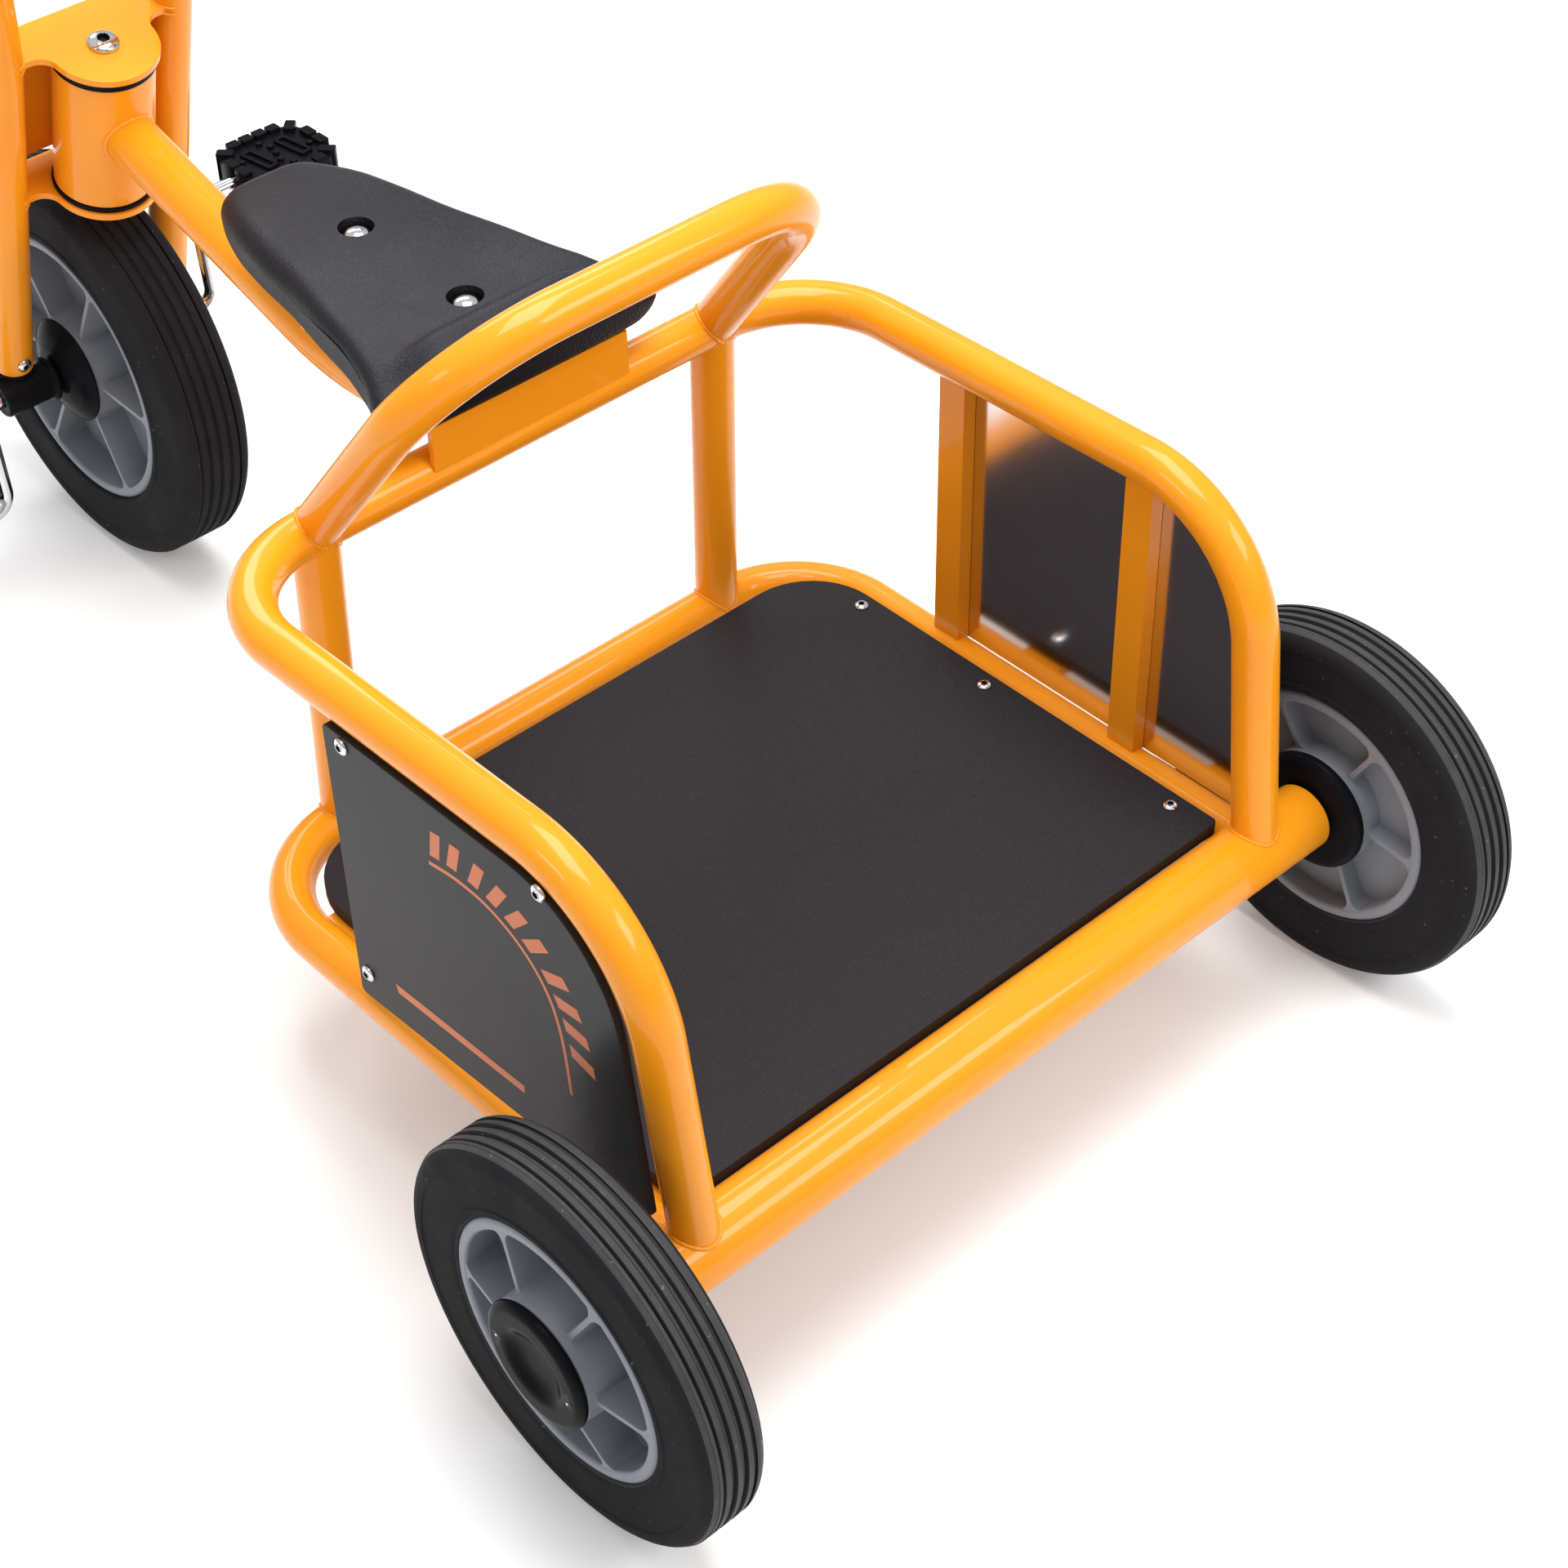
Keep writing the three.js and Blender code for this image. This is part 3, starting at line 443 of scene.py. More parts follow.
def facing(point, axis):
    """Local Z along any axis, from a point."""
    return Matrix.Translation(point) @ axis.to_track_quat("Z", "Y").to_matrix().to_4x4()


# ------------------------------------------------------------------ welds


def weld(name, start, direction, radius, host_point, host_axis, host_radius, body="frame", bead=1.3):
    """A rippled bead where a round tube meets another one."""
    d = direction.normalized()
    a = host_axis.normalized()
    side = d.orthogonal().normalized()
    other = d.cross(side)
    points = []
    for k in range(120):
        angle = 2 * pi * k / 120
        p = start + (side * cos(angle) + other * sin(angle)) * radius / 1000 - host_point
        p_flat = p - a * p.dot(a)
        d_flat = d - a * d.dot(a)
        qa = d_flat.dot(d_flat)
        qb = 2 * p_flat.dot(d_flat)
        qc = p_flat.dot(p_flat) - (host_radius / 1000) ** 2
        t = (-qb + sqrt(max(0, qb * qb - 4 * qa * qc))) / (2 * qa)
        points.append(host_point + p + d * t)
    ripple = lambda i: 1 + 0.1 * sin(i * 0.9) + 0.06 * sin(i * 2.3)
    verts, faces = sweep_mesh(points, bead, 10, True, ripple)
    return piece(name, verts, faces, "paint", body=body, sharp=80)


# ------------------------------------------------------------------ rear frame

LOWER_X, LOWER_FRONT_Y, LOWER_Z = 229, -405, 120
KNEE_X, KNEE_Y, KNEE_Z = 228, -27, 353
UPPER_FOOT_X, UPPER_FOOT_Y = 223, 2
UPPER_FRONT_Y, UPPER_FRONT_Z = -396, 344
HOOP_FOOT_X, HOOP_TOP_X, HOOP_TOP_Y, HOOP_TOP_Z = 150, 139, -272, 505
POST_FOOT_X = 153
FRONT_BEND_R, KNEE_BEND_R, HOOP_BEND_R = 74, 92, 84
AXLE_TUBE_R, AXLE_TUBE_BORE, AXLE_TUBE_HALF = 21.5, 18.5, 270
MAIN_TUBE_R, MAIN_BEND_R = 18, 200
HEAD_R = 33.6
HEAD_JOIN_Y, HEAD_JOIN_Z = -830.3, 375.8


def lower_path():
    """Corners of the lower rail, from its left end round the front to its right end."""
    right = [at(-LOWER_X, LOWER_FRONT_Y, LOWER_Z), at(-LOWER_X, 0, LOWER_Z)]
    return [at(LOWER_X, 0, LOWER_Z), at(LOWER_X, LOWER_FRONT_Y, LOWER_Z), *right]


def upper_path():
    """Corners of the upper rail, from its left foot over the knee and round the front."""
    left = [
        at(UPPER_FOOT_X, UPPER_FOOT_Y, AXLE_Z), at(KNEE_X, KNEE_Y, KNEE_Z),
        at(KNEE_X, UPPER_FRONT_Y, UPPER_FRONT_Z),
    ]
    return left + mirrored(left[::-1])


def hoop_path():
    left = [at(HOOP_FOOT_X, UPPER_FRONT_Y, UPPER_FRONT_Z), at(HOOP_TOP_X, HOOP_TOP_Y, HOOP_TOP_Z)]
    return left + mirrored(left[::-1])


def rear_frame():
    upper_radii = [KNEE_BEND_R, FRONT_BEND_R, FRONT_BEND_R, KNEE_BEND_R]
    tube("lower_rail_tube", bent(lower_path(), [FRONT_BEND_R] * 2), stands_for=["lower_rail"])
    tube("upper_rail_tube", bent(upper_path(), upper_radii), stands_for=["upper_rail"])
    tube("hoop_tube", bent(hoop_path(), [HOOP_BEND_R] * 2), stands_for=["backrest_hoop"])
    x_axis, z_axis, y_axis = Vector((1, 0, 0)), Vector((0, 0, 1)), Vector((0, 1, 0))
    axle = at(0, 0, AXLE_Z)
    for side, name in SIDES:
        foot = at(POST_FOOT_X * side, LOWER_FRONT_Y, LOWER_Z)
        head = at(HOOP_FOOT_X * side, UPPER_FRONT_Y, UPPER_FRONT_Z)
        tube(f"post_tube_{name}", [foot, head], stands_for=[f"front_post_{name}"])
        weld(f"weld_post_foot_{name}", foot, head - foot, TUBE_R, foot, x_axis, TUBE_R)
        weld(f"weld_post_head_{name}", head, foot - head, TUBE_R, head, x_axis, TUBE_R)
        rise = at(HOOP_TOP_X * side, HOOP_TOP_Y, HOOP_TOP_Z) - head
        weld(f"weld_hoop_{name}", head, rise, TUBE_R, head, x_axis, TUBE_R)
        lower_end = at(LOWER_X * side, 0, LOWER_Z)
        weld(f"weld_axle_lower_{name}", lower_end, -y_axis, TUBE_R, axle, x_axis, AXLE_TUBE_R)
        upper_end = at(UPPER_FOOT_X * side, UPPER_FOOT_Y, AXLE_Z)
        leg = at(KNEE_X * side, KNEE_Y, KNEE_Z) - upper_end
        weld(f"weld_axle_upper_{name}", upper_end, leg, TUBE_R, axle, x_axis, AXLE_TUBE_R)
    half = AXLE_TUBE_HALF
    bore_low, bore_high = (AXLE_TUBE_BORE, -half), (AXLE_TUBE_BORE, half)
    middle_ring = (AXLE_TUBE_BORE, 0)
    wall = [middle_ring, bore_high, (AXLE_TUBE_R, half), (AXLE_TUBE_R, -half), bore_low, middle_ring]
    lathe("axle_tube", rounded(wall, 0.8), along_x(axle), "paint", stands_for=["rear_axle_tube"])
    for side, name in SIDES:
        plug = [(6.4, 250), (6.4, 272), (20.4, 272), (20.4, 270.3), (17.4, 270.3), (17.4, 250)]
        lathe(f"axle_end_plug_{name}", rounded(plug, 0.7), along_x(axle, side), "black",
              stands_for=[f"axle_plug_{name}"])
    low = at(0, *main_low())
    main = bent([at(0, HEAD_JOIN_Y, HEAD_JOIN_Z), low, at(0, UPPER_FRONT_Y, UPPER_FRONT_Z)], [MAIN_BEND_R])
    end = main.pop()
    back = (end - main[-1]).normalized()
    main += [end - back * 0.036, end - back * 0.008]
    last = len(main) - 1
    verts, faces = sweep_mesh(main, MAIN_TUBE_R, swell=lambda i: 0.7 if i == last else 1)
    piece("main_beam", verts, faces, "paint", stands_for=["main_tube"])
    start = steer(0, 0, 0)
    host_axis = STEERING.to_3x3() @ z_axis
    down = (low - main[0]).normalized()
    weld("weld_head", main[0], down, MAIN_TUBE_R, start, host_axis, HEAD_R, bead=2.0)


def main_low():
    """Where the two straight runs of the main tube would meet: y and z."""
    y0, z0, slope_down = HEAD_JOIN_Y, HEAD_JOIN_Z, 0.296
    y1, z1, slope_up = UPPER_FRONT_Y, UPPER_FRONT_Z, 0.3
    y = (z0 + slope_down * y0 - z1 + slope_up * y1) / (slope_down + slope_up)
    return y, z0 - slope_down * (y - y0)


# ------------------------------------------------------------------ screws and bolts


def button_head(name, place, radius, height, body="frame", stands_for=(), hex_radius=None, shank=None):
    """A domed head with a hexagon socket, its seat at local z = 0."""
    socket = hex_radius or radius * 0.42
    dome = [(radius * cos(a), height * (0.25 + 0.75 * sin(a))) for a in
            [radians(k * 10) for k in range(7)]]
    profile = [(0, 0)] if shank is None else [(0, -shank[1]), (shank[0], -shank[1]), (shank[0], 0)]
    profile += [(radius * 0.98, 0), *dome, (socket * 1.25, height), (socket * 1.12, height, "hex"),
                (socket, height * 0.9, "hex"), (socket, height * 0.35, "hex"), (0, height * 0.3)]
    obj = lathe(name, profile, place, "chrome+socket", 48, body=body, stands_for=stands_for)
    for poly in obj.data.polygons:
        local = place.inverted() @ poly.center
        poly.material_index = int(hypot(local.x, local.y) * 1000 < socket * 0.97 and local.z > 0)
    return obj


# ------------------------------------------------------------------ deck and panels

DECK_HALF, DECK_FRONT_Y, DECK_REAR_Y = 214, -374, -20.3
DECK_UNDER_Z, DECK_TOP_Z = 129.4, 139
DECK_SCREW_X, DECK_SCREW_YS = 203, (-318, -206, -49)


def deck():
    corners = [(-DECK_HALF, DECK_FRONT_Y), (DECK_HALF, DECK_FRONT_Y), (DECK_HALF, DECK_REAR_Y),
               (-DECK_HALF, DECK_REAR_Y)]
    outline = rounded_outline(corners, [50, 50, 4, 4])
    board = slab("deck_panel", outline, DECK_UNDER_Z, DECK_TOP_Z, Matrix.Translation(at(0, 0, 0)),
                 "board+edge", 0.7, stands_for=["deck_board"])
    for poly in board.data.polygons:
        poly.material_index = int(abs(poly.normal.z) < 0.5)
    spots = [(x, y) for x in (DECK_SCREW_X, -DECK_SCREW_X) for y in DECK_SCREW_YS]
    for i, (x, y) in enumerate(spots):
        button_head(f"deck_screw_{i}", Matrix.Translation(at(x, y, DECK_TOP_Z)), 4.6, 2.4)


PANEL_INNER, PANEL_OUTER, PRINT_OUTER = 237.3, 242.3, 242.42
PANEL_FRONT_Y, PANEL_INSET = -265, 10.8
PANEL_SCREWS = [(-248, 330), (-84, 337.5), (-255, 156)]
# For each side, the corners of the bottom edge from the front as y and z, and the height of its rear end.
PANEL_FOOT = {
    "left": ([(PANEL_FRONT_Y, 135)], 151),
    "right": ([(PANEL_FRONT_Y, 131.7), (-29, 131.7)], 148),
}


def panel_outline(foot_corners, rear_z):
    """The side panel's outline in y and z: straight front, and the rear corner following the rail."""
    knee, foot = Vector((KNEE_Y, KNEE_Z)), Vector((UPPER_FOOT_Y, AXLE_Z))
    u = (Vector((UPPER_FRONT_Y, UPPER_FRONT_Z)) - knee).normalized()
    v = (foot - knee).normalized()
    rear_top = knee + (u + v) * PANEL_INSET / abs(u.x * v.y - u.y * v.x)
    front_top = rear_top + u * (PANEL_FRONT_Y - rear_top.x) / u.x
    rear_foot = rear_top + v * (rear_z - rear_top.y) / v.y
    corners = [*foot_corners, tuple(rear_foot), tuple(rear_top), tuple(front_top)]
    radii = [4] * len(foot_corners) + [4, KNEE_BEND_R - 11, 4]
    return rounded_outline(corners, radii, 14)


def upright(side):
    """Local X to the rear, local Y up and local Z outward, on one side."""
    basis = Matrix(((0, 0, side), (1, 0, 0), (0, 1, 0))).to_4x4()
    return Matrix.Translation(at(0, 0, 0)) @ basis


def ribbon(points, width):
    """A flat strip along points in the plane."""
    left, right = [], []
    for i, p in enumerate(points):
        ahead = Vector(points[min(i + 1, len(points) - 1)]) - Vector(points[max(i - 1, 0)])
        normal = Vector((-ahead.y, ahead.x)).normalized() * width / 2
        left.append(tuple(Vector(p) + normal))
        right.append(tuple(Vector(p) - normal))
    return left + right[::-1]


def catmull(points, steps=8):
    """A smooth curve through the points."""
    out = []
    ends = [points[0], *points, points[-1]]
    for a, b, c, d in zip(ends, ends[1:], ends[2:], ends[3:]):
        a, b, c, d = map(Vector, (a, b, c, d))
        for k in range(steps):
            t = k / steps
            out.append(tuple(0.5 * (2 * b + (c - a) * t + (2 * a - 5 * b + 4 * c - d) * t * t
                                    + (3 * b - a - 3 * c + d) * t ** 3)))
    return out + [tuple(points[-1])]


ARC = [(-179, 293.6), (-155, 297.3), (-128, 295.5), (-103, 284.7), (-85, 266), (-76, 240), (-72, 200)]
BAR = [(-228.5, 167.2), (-226.5, 161.2), (-114.5, 167.7), (-114, 173.4)]


def panel_print(side, name):
    """Generic decoration: an arc line with slanted dashes outside it, and a straight bar below."""
    place = upright(side)
    arc = catmull(ARC)
    ink = lambda outline: slab_mesh(outline, PANEL_OUTER, PRINT_OUTER, place)
    parts = [ink(ribbon(arc, 2.6)), ink(BAR)]
    for k in range(10):
        i = round(3 + k * (len(arc) - 8) / 9.6)
        p, q = Vector(arc[i]), Vector(arc[i + 1])
        along = (q - p).normalized()
        out = Vector((-along.y, along.x))
        if out.x < 0 and out.y < 0:
            out = -out
        lean = (out + along * 0.35).normalized()
        foot = p + out * 6
        w = along * 4.2
        corners = [foot - w, foot + w, foot + w + lean * 19, foot - w + lean * 19]
        parts.append(ink([tuple(c) for c in corners]))
    verts, faces = merge(parts)
    piece(f"panel_print_{name}", verts, faces, "print")


def panels():
    for side, name in SIDES:
        board = slab(f"panel_{name}", panel_outline(*PANEL_FOOT[name]), PANEL_INNER, PANEL_OUTER,
                     upright(side), "panel+edge+sheet", 0.5, stands_for=[f"side_panel_{name}"])
        for poly in board.data.polygons:
            facing_out = poly.normal.x * side
            poly.material_index = 0 if facing_out > 0.5 else 2 if facing_out < -0.5 else 1
        panel_print(side, name)
        for i, (y, z) in enumerate(PANEL_SCREWS):
            seat = upright(side) @ Matrix.Translation(mm(y, z, PANEL_OUTER))
            button_head(f"panel_screw_{name}_{i}", seat, 5.2, 2.6)


# ------------------------------------------------------------------ saddle

SADDLE_EDGE = [
    (0, -651), (18, -650.6), (30, -646), (38.5, -635), (50, -606), (58, -570), (64, -530), (72, -492),
    (79, -455), (89, -422), (98, -403), (102, -392), (98, -385), (84, -382), (50, -380), (0, -379),
]
SADDLE_TOP_Z = 411
BOLT_SEAT_Z, WELL_FLOOR_Z = 403.8, 402.6
BOLT_R, BOLT_RISE = 9.9, 6
SADDLE_BOLTS = {"front": (0, -546), "rear": (0, -440)}


def polyline_at(points, t):
    """The point at a share t of a polyline's length."""
    lengths = [0.0]
    for a, b in zip(points, points[1:]):
        lengths.append(lengths[-1] + (Vector(b) - Vector(a)).length)
    target = t * lengths[-1]
    for i in range(1, len(points)):
        if lengths[i] >= target or i == len(points) - 1:
            share = (target - lengths[i - 1]) / max(1e-9, lengths[i] - lengths[i - 1])
            return Vector(points[i - 1]).lerp(Vector(points[i]), min(1, share))


def smooth(a, b, x):
    """0 at a, 1 at b, and an even curve between."""
    t = min(1, max(0, (x - a) / (b - a)))
    return t * t * (3 - 2 * t)


def edge_distance(p, loop):
    """The distance in plan from a point to a closed outline."""
    best = 1e9
    for a, b in zip(loop, loop[1:] + loop[:1]):
        hit, share = geometry.intersect_point_line(p, a, b)
        hit = a if share < 0 else b if share > 1 else Vector(hit)
        best = min(best, (p - Vector(hit)).length)
    return best


def saddle_height(x, y, from_edge):
    """Height of the saddle's upper side: a crown, a ridge at the rear, and a roll down to the edge."""
    wing = smooth(50, 100, abs(x))
    ridge = smooth(-424, -410, y) * (1 - 0.5 * smooth(-409, -383, y)) * (1 - smooth(40, 84, abs(x)))
    top = SADDLE_TOP_Z - 4 * smooth(-590, -660, y) - 1.5 * (x / 70) ** 2 - 7 * smooth(-440, -385, y) * wing
    top += 9.5 * ridge
    to_rear = smooth(-590, -430, y)
    roll = 16 - 7 * to_rear
    depth = 15 - 6 * to_rear
    if from_edge < roll:
        top -= depth * (1 - sqrt(max(0, 1 - (1 - from_edge / roll) ** 2)))
    return top


def saddle_grid(half, rows, columns):
    """Rows of plan points that fill the saddle's outline, and the outline as a loop."""
    mirror = lambda points: [(-x, y) for x, y in points]
    nose_at = next(i for i, p in enumerate(half) if p[0] >= 36)
    tail_at = next(i for i, p in enumerate(half) if p[1] >= -398)
    nose, flank, tail = half[:nose_at + 1], half[nose_at:tail_at + 1], half[tail_at:]
    front = mirror(nose)[::-1] + nose[1:]
    rear = mirror(tail) + tail[::-1][1:]
    c00, c10, c01, c11 = map(Vector, (front[0], front[-1], rear[0], rear[-1]))
    grid = []
    for j in range(rows + 1):
        v = 0.5 - 0.5 * cos(pi * j / rows)
        left, right = polyline_at(mirror(flank), v), polyline_at(flank, v)
        row = []
        for i in range(columns + 1):
            u = 0.5 - 0.5 * cos(pi * i / columns)
            a, b = polyline_at(front, u), polyline_at(rear, u)
            p = left * (1 - u) + right * u + a * (1 - v) + b * v
            p -= c00 * (1 - u) * (1 - v) + c10 * u * (1 - v) + c01 * (1 - u) * v + c11 * u * v
            row.append(p)
        grid.append(row)
    loop = [Vector((x, y, 0)) for x, y in half + mirror(half)[::-1][1:-1]]
    return grid, loop


def saddle():
    rows, columns = 64, 48
    grid, loop = saddle_grid(catmull(SADDLE_EDGE, 6), rows, columns)
    verts, faces = [], []
    border = lambda i, j: i in (0, columns) or j in (0, rows)
    for j, row in enumerate(grid):
        for i, p in enumerate(row):
            from_edge = 0 if border(i, j) else edge_distance(Vector((p.x, p.y, 0)), loop)
            verts.append(at(p.x, p.y, saddle_height(p.x, p.y, from_edge)))
    at_grid = lambda i, j: j * (columns + 1) + i
    for j in range(rows):
        for i in range(columns):
            faces.append((at_grid(i, j), at_grid(i + 1, j), at_grid(i + 1, j + 1), at_grid(i, j + 1)))
    rim = [at_grid(i, 0) for i in range(columns)] + [at_grid(columns, j) for j in range(rows)]
    rim += [at_grid(i, rows) for i in range(columns, 0, -1)] + [at_grid(0, j) for j in range(rows, 0, -1)]
    middle_point = at(0, -500, 0)
    previous = rim
    for inset, z in ((0.4, 386.0), (1.6, 382.8), (3.6, 381.4), (7, 381.4)):
        ring = []
        for v in rim:
            p = verts[v]
            inward = Vector((middle_point.x - p.x, (middle_point.y - p.y) * 0.5, 0)).normalized()
            q = p + inward * inset / 1000
            back = smooth(-0.46, -0.39, p.y - AXLE_Y)
            sag = back * 5 * smooth(82, 102, abs(p.x) * 1000)
            ring.append(len(verts))
            verts.append(Vector((q.x, q.y, min((z + sag) / 1000, p.z - 0.001 * (1 + inset)))))
        for k in range(len(rim)):
            n = (k + 1) % len(rim)
            faces.append((previous[k], previous[n], ring[n], ring[k]))
        previous = ring
    faces.append(tuple(previous))
    shell = piece("saddle_shell", verts, faces, "saddle", stands_for=["saddle"], sharp=60)
    for name, (x, y) in SADDLE_BOLTS.items():
        sink_well(shell, x, y)
        angles = [radians(k * 10) for k in range(1, 10)]
        dome = [(BOLT_R * cos(a), BOLT_RISE * sin(a)) for a in angles]
        bolt = [(0, -6), (6, -6), (6, 0), (BOLT_R, 0), *dome]
        lathe(f"saddle_button_{name}", bolt, Matrix.Translation(at(x, y, BOLT_SEAT_Z)), "chrome", 64,
              stands_for=[f"saddle_bolt_{name}"])


def sink_well(target, x, y):
    """Sinks a round well for a bolt head into the saddle."""
    verts, faces = lathe_mesh(rounded([(0, 0), (11.2, 0), (11.3, 8.2), (11.9, 30), (0, 30)], 0.8),
                              Matrix.Translation(at(x, y, WELL_FLOOR_Z)), 48)
    mesh = clean_mesh("well", verts, faces)
    mesh.materials.append(FINISH["saddle"])
    cutter = placed("well_cutter", mesh)
    modifier = target.modifiers.new("well", "BOOLEAN")
    modifier.object = cutter
    modifier.operation = "DIFFERENCE"
    modifier.solver = "EXACT"
    graph = bpy.context.evaluated_depsgraph_get()
    result = bpy.data.meshes.new_from_object(target.evaluated_get(graph), depsgraph=graph)
    target.modifiers.remove(modifier)
    target.data = result
    result.shade_smooth()
    result.set_sharp_from_angle(angle=radians(50))
    bpy.data.objects.remove(cutter)


# ------------------------------------------------------------------ head, yoke and fork

YOKE_R = 36.5
HEAD_BORE = 25.5
HEAD_TOP, HEAD_FOOT = 51.4, -50.6
YOKE_UPPER, YOKE_LOWER = (57.3, 62.3), (-59.2, -54.2)
LEG_X, LEG_FORWARD = 65, 18
LEG_BENDS_R = [60, 55]
CRANK_BORE = 5.5


def yoke_outline():
    points = [(62, -41), (62, -9)]
    for k in range(9):
        a = radians(-90 - 93 * k / 8)
        points.append((48.4 + 12 * cos(a), 3 + 12 * sin(a)))
    angles = [radians(a) for a in range(6, 90, 6)]
    half = points + [(YOKE_R * cos(a), YOKE_R * sin(a)) for a in angles]
    return half + [(0, YOKE_R)] + [(-x, y) for x, y in half[::-1]]


def leg_weld(name, side, height):
    """A short bead on the inner side of a fork leg, where a yoke plate meets it."""
    reach = TUBE_R + 0.3
    points = []
    for k in range(31):
        a = radians(114 + 4.4 * k)
        x = (LEG_X + reach * cos(a)) * side
        y = -LEG_FORWARD + reach * sin(a)
        points.append(STEERING @ mm(x, y, height))
    verts, faces = sweep_mesh(points, 0.95, 8, False, lambda i: 1 + 0.12 * sin(i * 1.3))
    piece(name, verts, faces, "paint", body="fork", sharp=80)


def head_and_fork():
    wall = [(HEAD_BORE, 0), (HEAD_BORE, HEAD_TOP), (HEAD_R, HEAD_TOP), (HEAD_R, HEAD_FOOT),
            (HEAD_BORE, HEAD_FOOT), (HEAD_BORE, 0)]
    lathe("head_shell", rounded(wall, 1.2), STEERING, "paint", stands_for=["head_tube"])
    for name, base, flip in (("upper", HEAD_TOP, 1), ("lower", HEAD_FOOT, -1)):
        rise = 5.7 if flip > 0 else 3.3
        collar = [(6.4, -20), (24.9, -20), (24.9, 0.2), (34.8, 0.2), (34.8, rise), (6.4, rise), (6.4, -20)]
        place = STEERING @ Matrix.Translation(mm(0, 0, base))
        place = place if flip > 0 else place @ Matrix.Rotation(pi, 4, "X")
        lathe(f"head_collar_{name}", rounded(collar, 0.7), place, "black", stands_for=[f"head_bush_{name}"])
    for name, level, node in (("top", YOKE_UPPER, "upper"), ("foot", YOKE_LOWER, "lower")):
        slab(f"yoke_{name}", yoke_outline(), *level, STEERING, "paint", 1.4, body="fork",
             stands_for=[f"yoke_plate_{node}"])
    web = [(-62, -47), (62, -47), (62, 57), (-62, 57)]
    basis = STEERING @ Matrix(((1, 0, 0), (0, 0, 1), (0, 1, 0))).to_4x4()
    slab("yoke_front", web, -41, -37, basis, "paint", 1.0, body="fork", stands_for=["yoke_web"])
    seat = STEERING @ Matrix.Translation((0, 0, 0.0626))
    button_head("steering_button", seat, 10.5, 5.2, "fork", ["steering_bolt"],
                hex_radius=4.2, shank=(6, 137))
    path = [steer(LEG_X, LEG_FORWARD, -214.5), steer(LEG_X, LEG_FORWARD, 66), steer(80, 16, 200),
            steer(215, -75, 222)]
    for name, points in (("left", path), ("right", mirrored(path))):
        tube(f"fork_leg_{name}", bent(points, LEG_BENDS_R), body="fork", stands_for=[f"fork_tube_{name}"])
        grip(name, points)
    levels = {"top": YOKE_UPPER[1], "under": YOKE_UPPER[0], "low": YOKE_LOWER[1], "foot": YOKE_LOWER[0]}
    for side, name in SIDES:
        for level, height in levels.items():
            leg_weld(f"weld_leg_{name}_{level}", side, height)
    verts, faces = sweep_mesh([steer(-73, 16.7, 150), steer(73, 16.7, 150)], 8)
    piece("brace_bar", verts, faces, "paint", body="fork", stands_for=["handlebar_brace"])


def grip(name, points):
    end = points[3]
    along = (end - points[2]).normalized()
    place = facing(end + along * 0.006, -along)
    profile = [(0, 0), (14, 0), (17.4, 1.2), (19, 3.5), (19, 6), (17.3, 8)]
    for k in range(11):
        z = 14 + k * 7.4
        profile += [(17.3, z - 1.6), (16.4, z - 0.7), (16.4, z + 0.7), (17.3, z + 1.6)]
    profile += [(17.3, 105), (18.4, 107), (18.4, 110), (17, 111), (14.4, 111), (14.4, 20)]
    lathe(f"grip_sleeve_{name}", profile, place, "rubber", 72, body="fork", stands_for=[f"grip_{name}"],
          slot="grip_rubber")


def housings():
    for side, name in SIDES:
        place = along_x(FRONT_AXLE, side)
        barrel = rounded([
            (CRANK_BORE, 43), (16.5, 43), (16.5, 46.2), (13.5, 47.5), (13.5, 82.5), (12.3, 84),
            (CRANK_BORE, 84), (CRANK_BORE, 43),
        ], 1.2)
        low = STEERING.inverted() @ FRONT_AXLE
        collar_place = STEERING @ Matrix.Translation((side * LEG_X / 1000, -LEG_FORWARD / 1000, low.z))
        collar = rounded([(0, -6), (13.6, -6), (14.2, 2), (14.2, 14.6), (13.4, 16.4), (0, 16.4)], 1.2)
        verts, faces = merge([lathe_mesh(barrel, place, 64), lathe_mesh(collar, collar_place, 64)])
        piece(f"housing_{name}", verts, faces, "black", body="fork", stands_for=[f"axle_housing_{name}"])
        screw_seat = Matrix.Translation((side * LEG_X / 1000, -0.0042, low.z + 0.0275))
        screw_place = STEERING @ screw_seat @ Matrix.Rotation(-pi / 2, 4, "X")
        button_head(f"leg_screw_{name}", screw_place, 5.2, 3.2, "fork", [f"fork_screw_{name}"])


# ------------------------------------------------------------------ wheels

AXLE_BORE = 6.5
REAR_X = 301
REAR_TYRE = {"bore": 80.3, "half": 20.5, "grooves": (11.5, 4, -3.5, -11), "shoulder": 9}
FRONT_TYRE = {"bore": 102.3, "half": 28, "grooves": (17, 8.5, 0, -8.5, -17), "shoulder": 11}
HUB_R = 38
# Rim, hub barrel, web and ribs: radii, and places along the axle from the wheel's middle.
REAR_CENTRE = {"rim": 80, "rim_half": 19.5, "hub_low": -20, "hub_high": 28, "web": -4, "rib_half": 18.9}
FRONT_CENTRE = {"rim": 102, "rim_half": 26, "hub_low": -27, "hub_high": 27, "web": 0, "rib_half": 25.3}
RIB_AT_HUB = 24


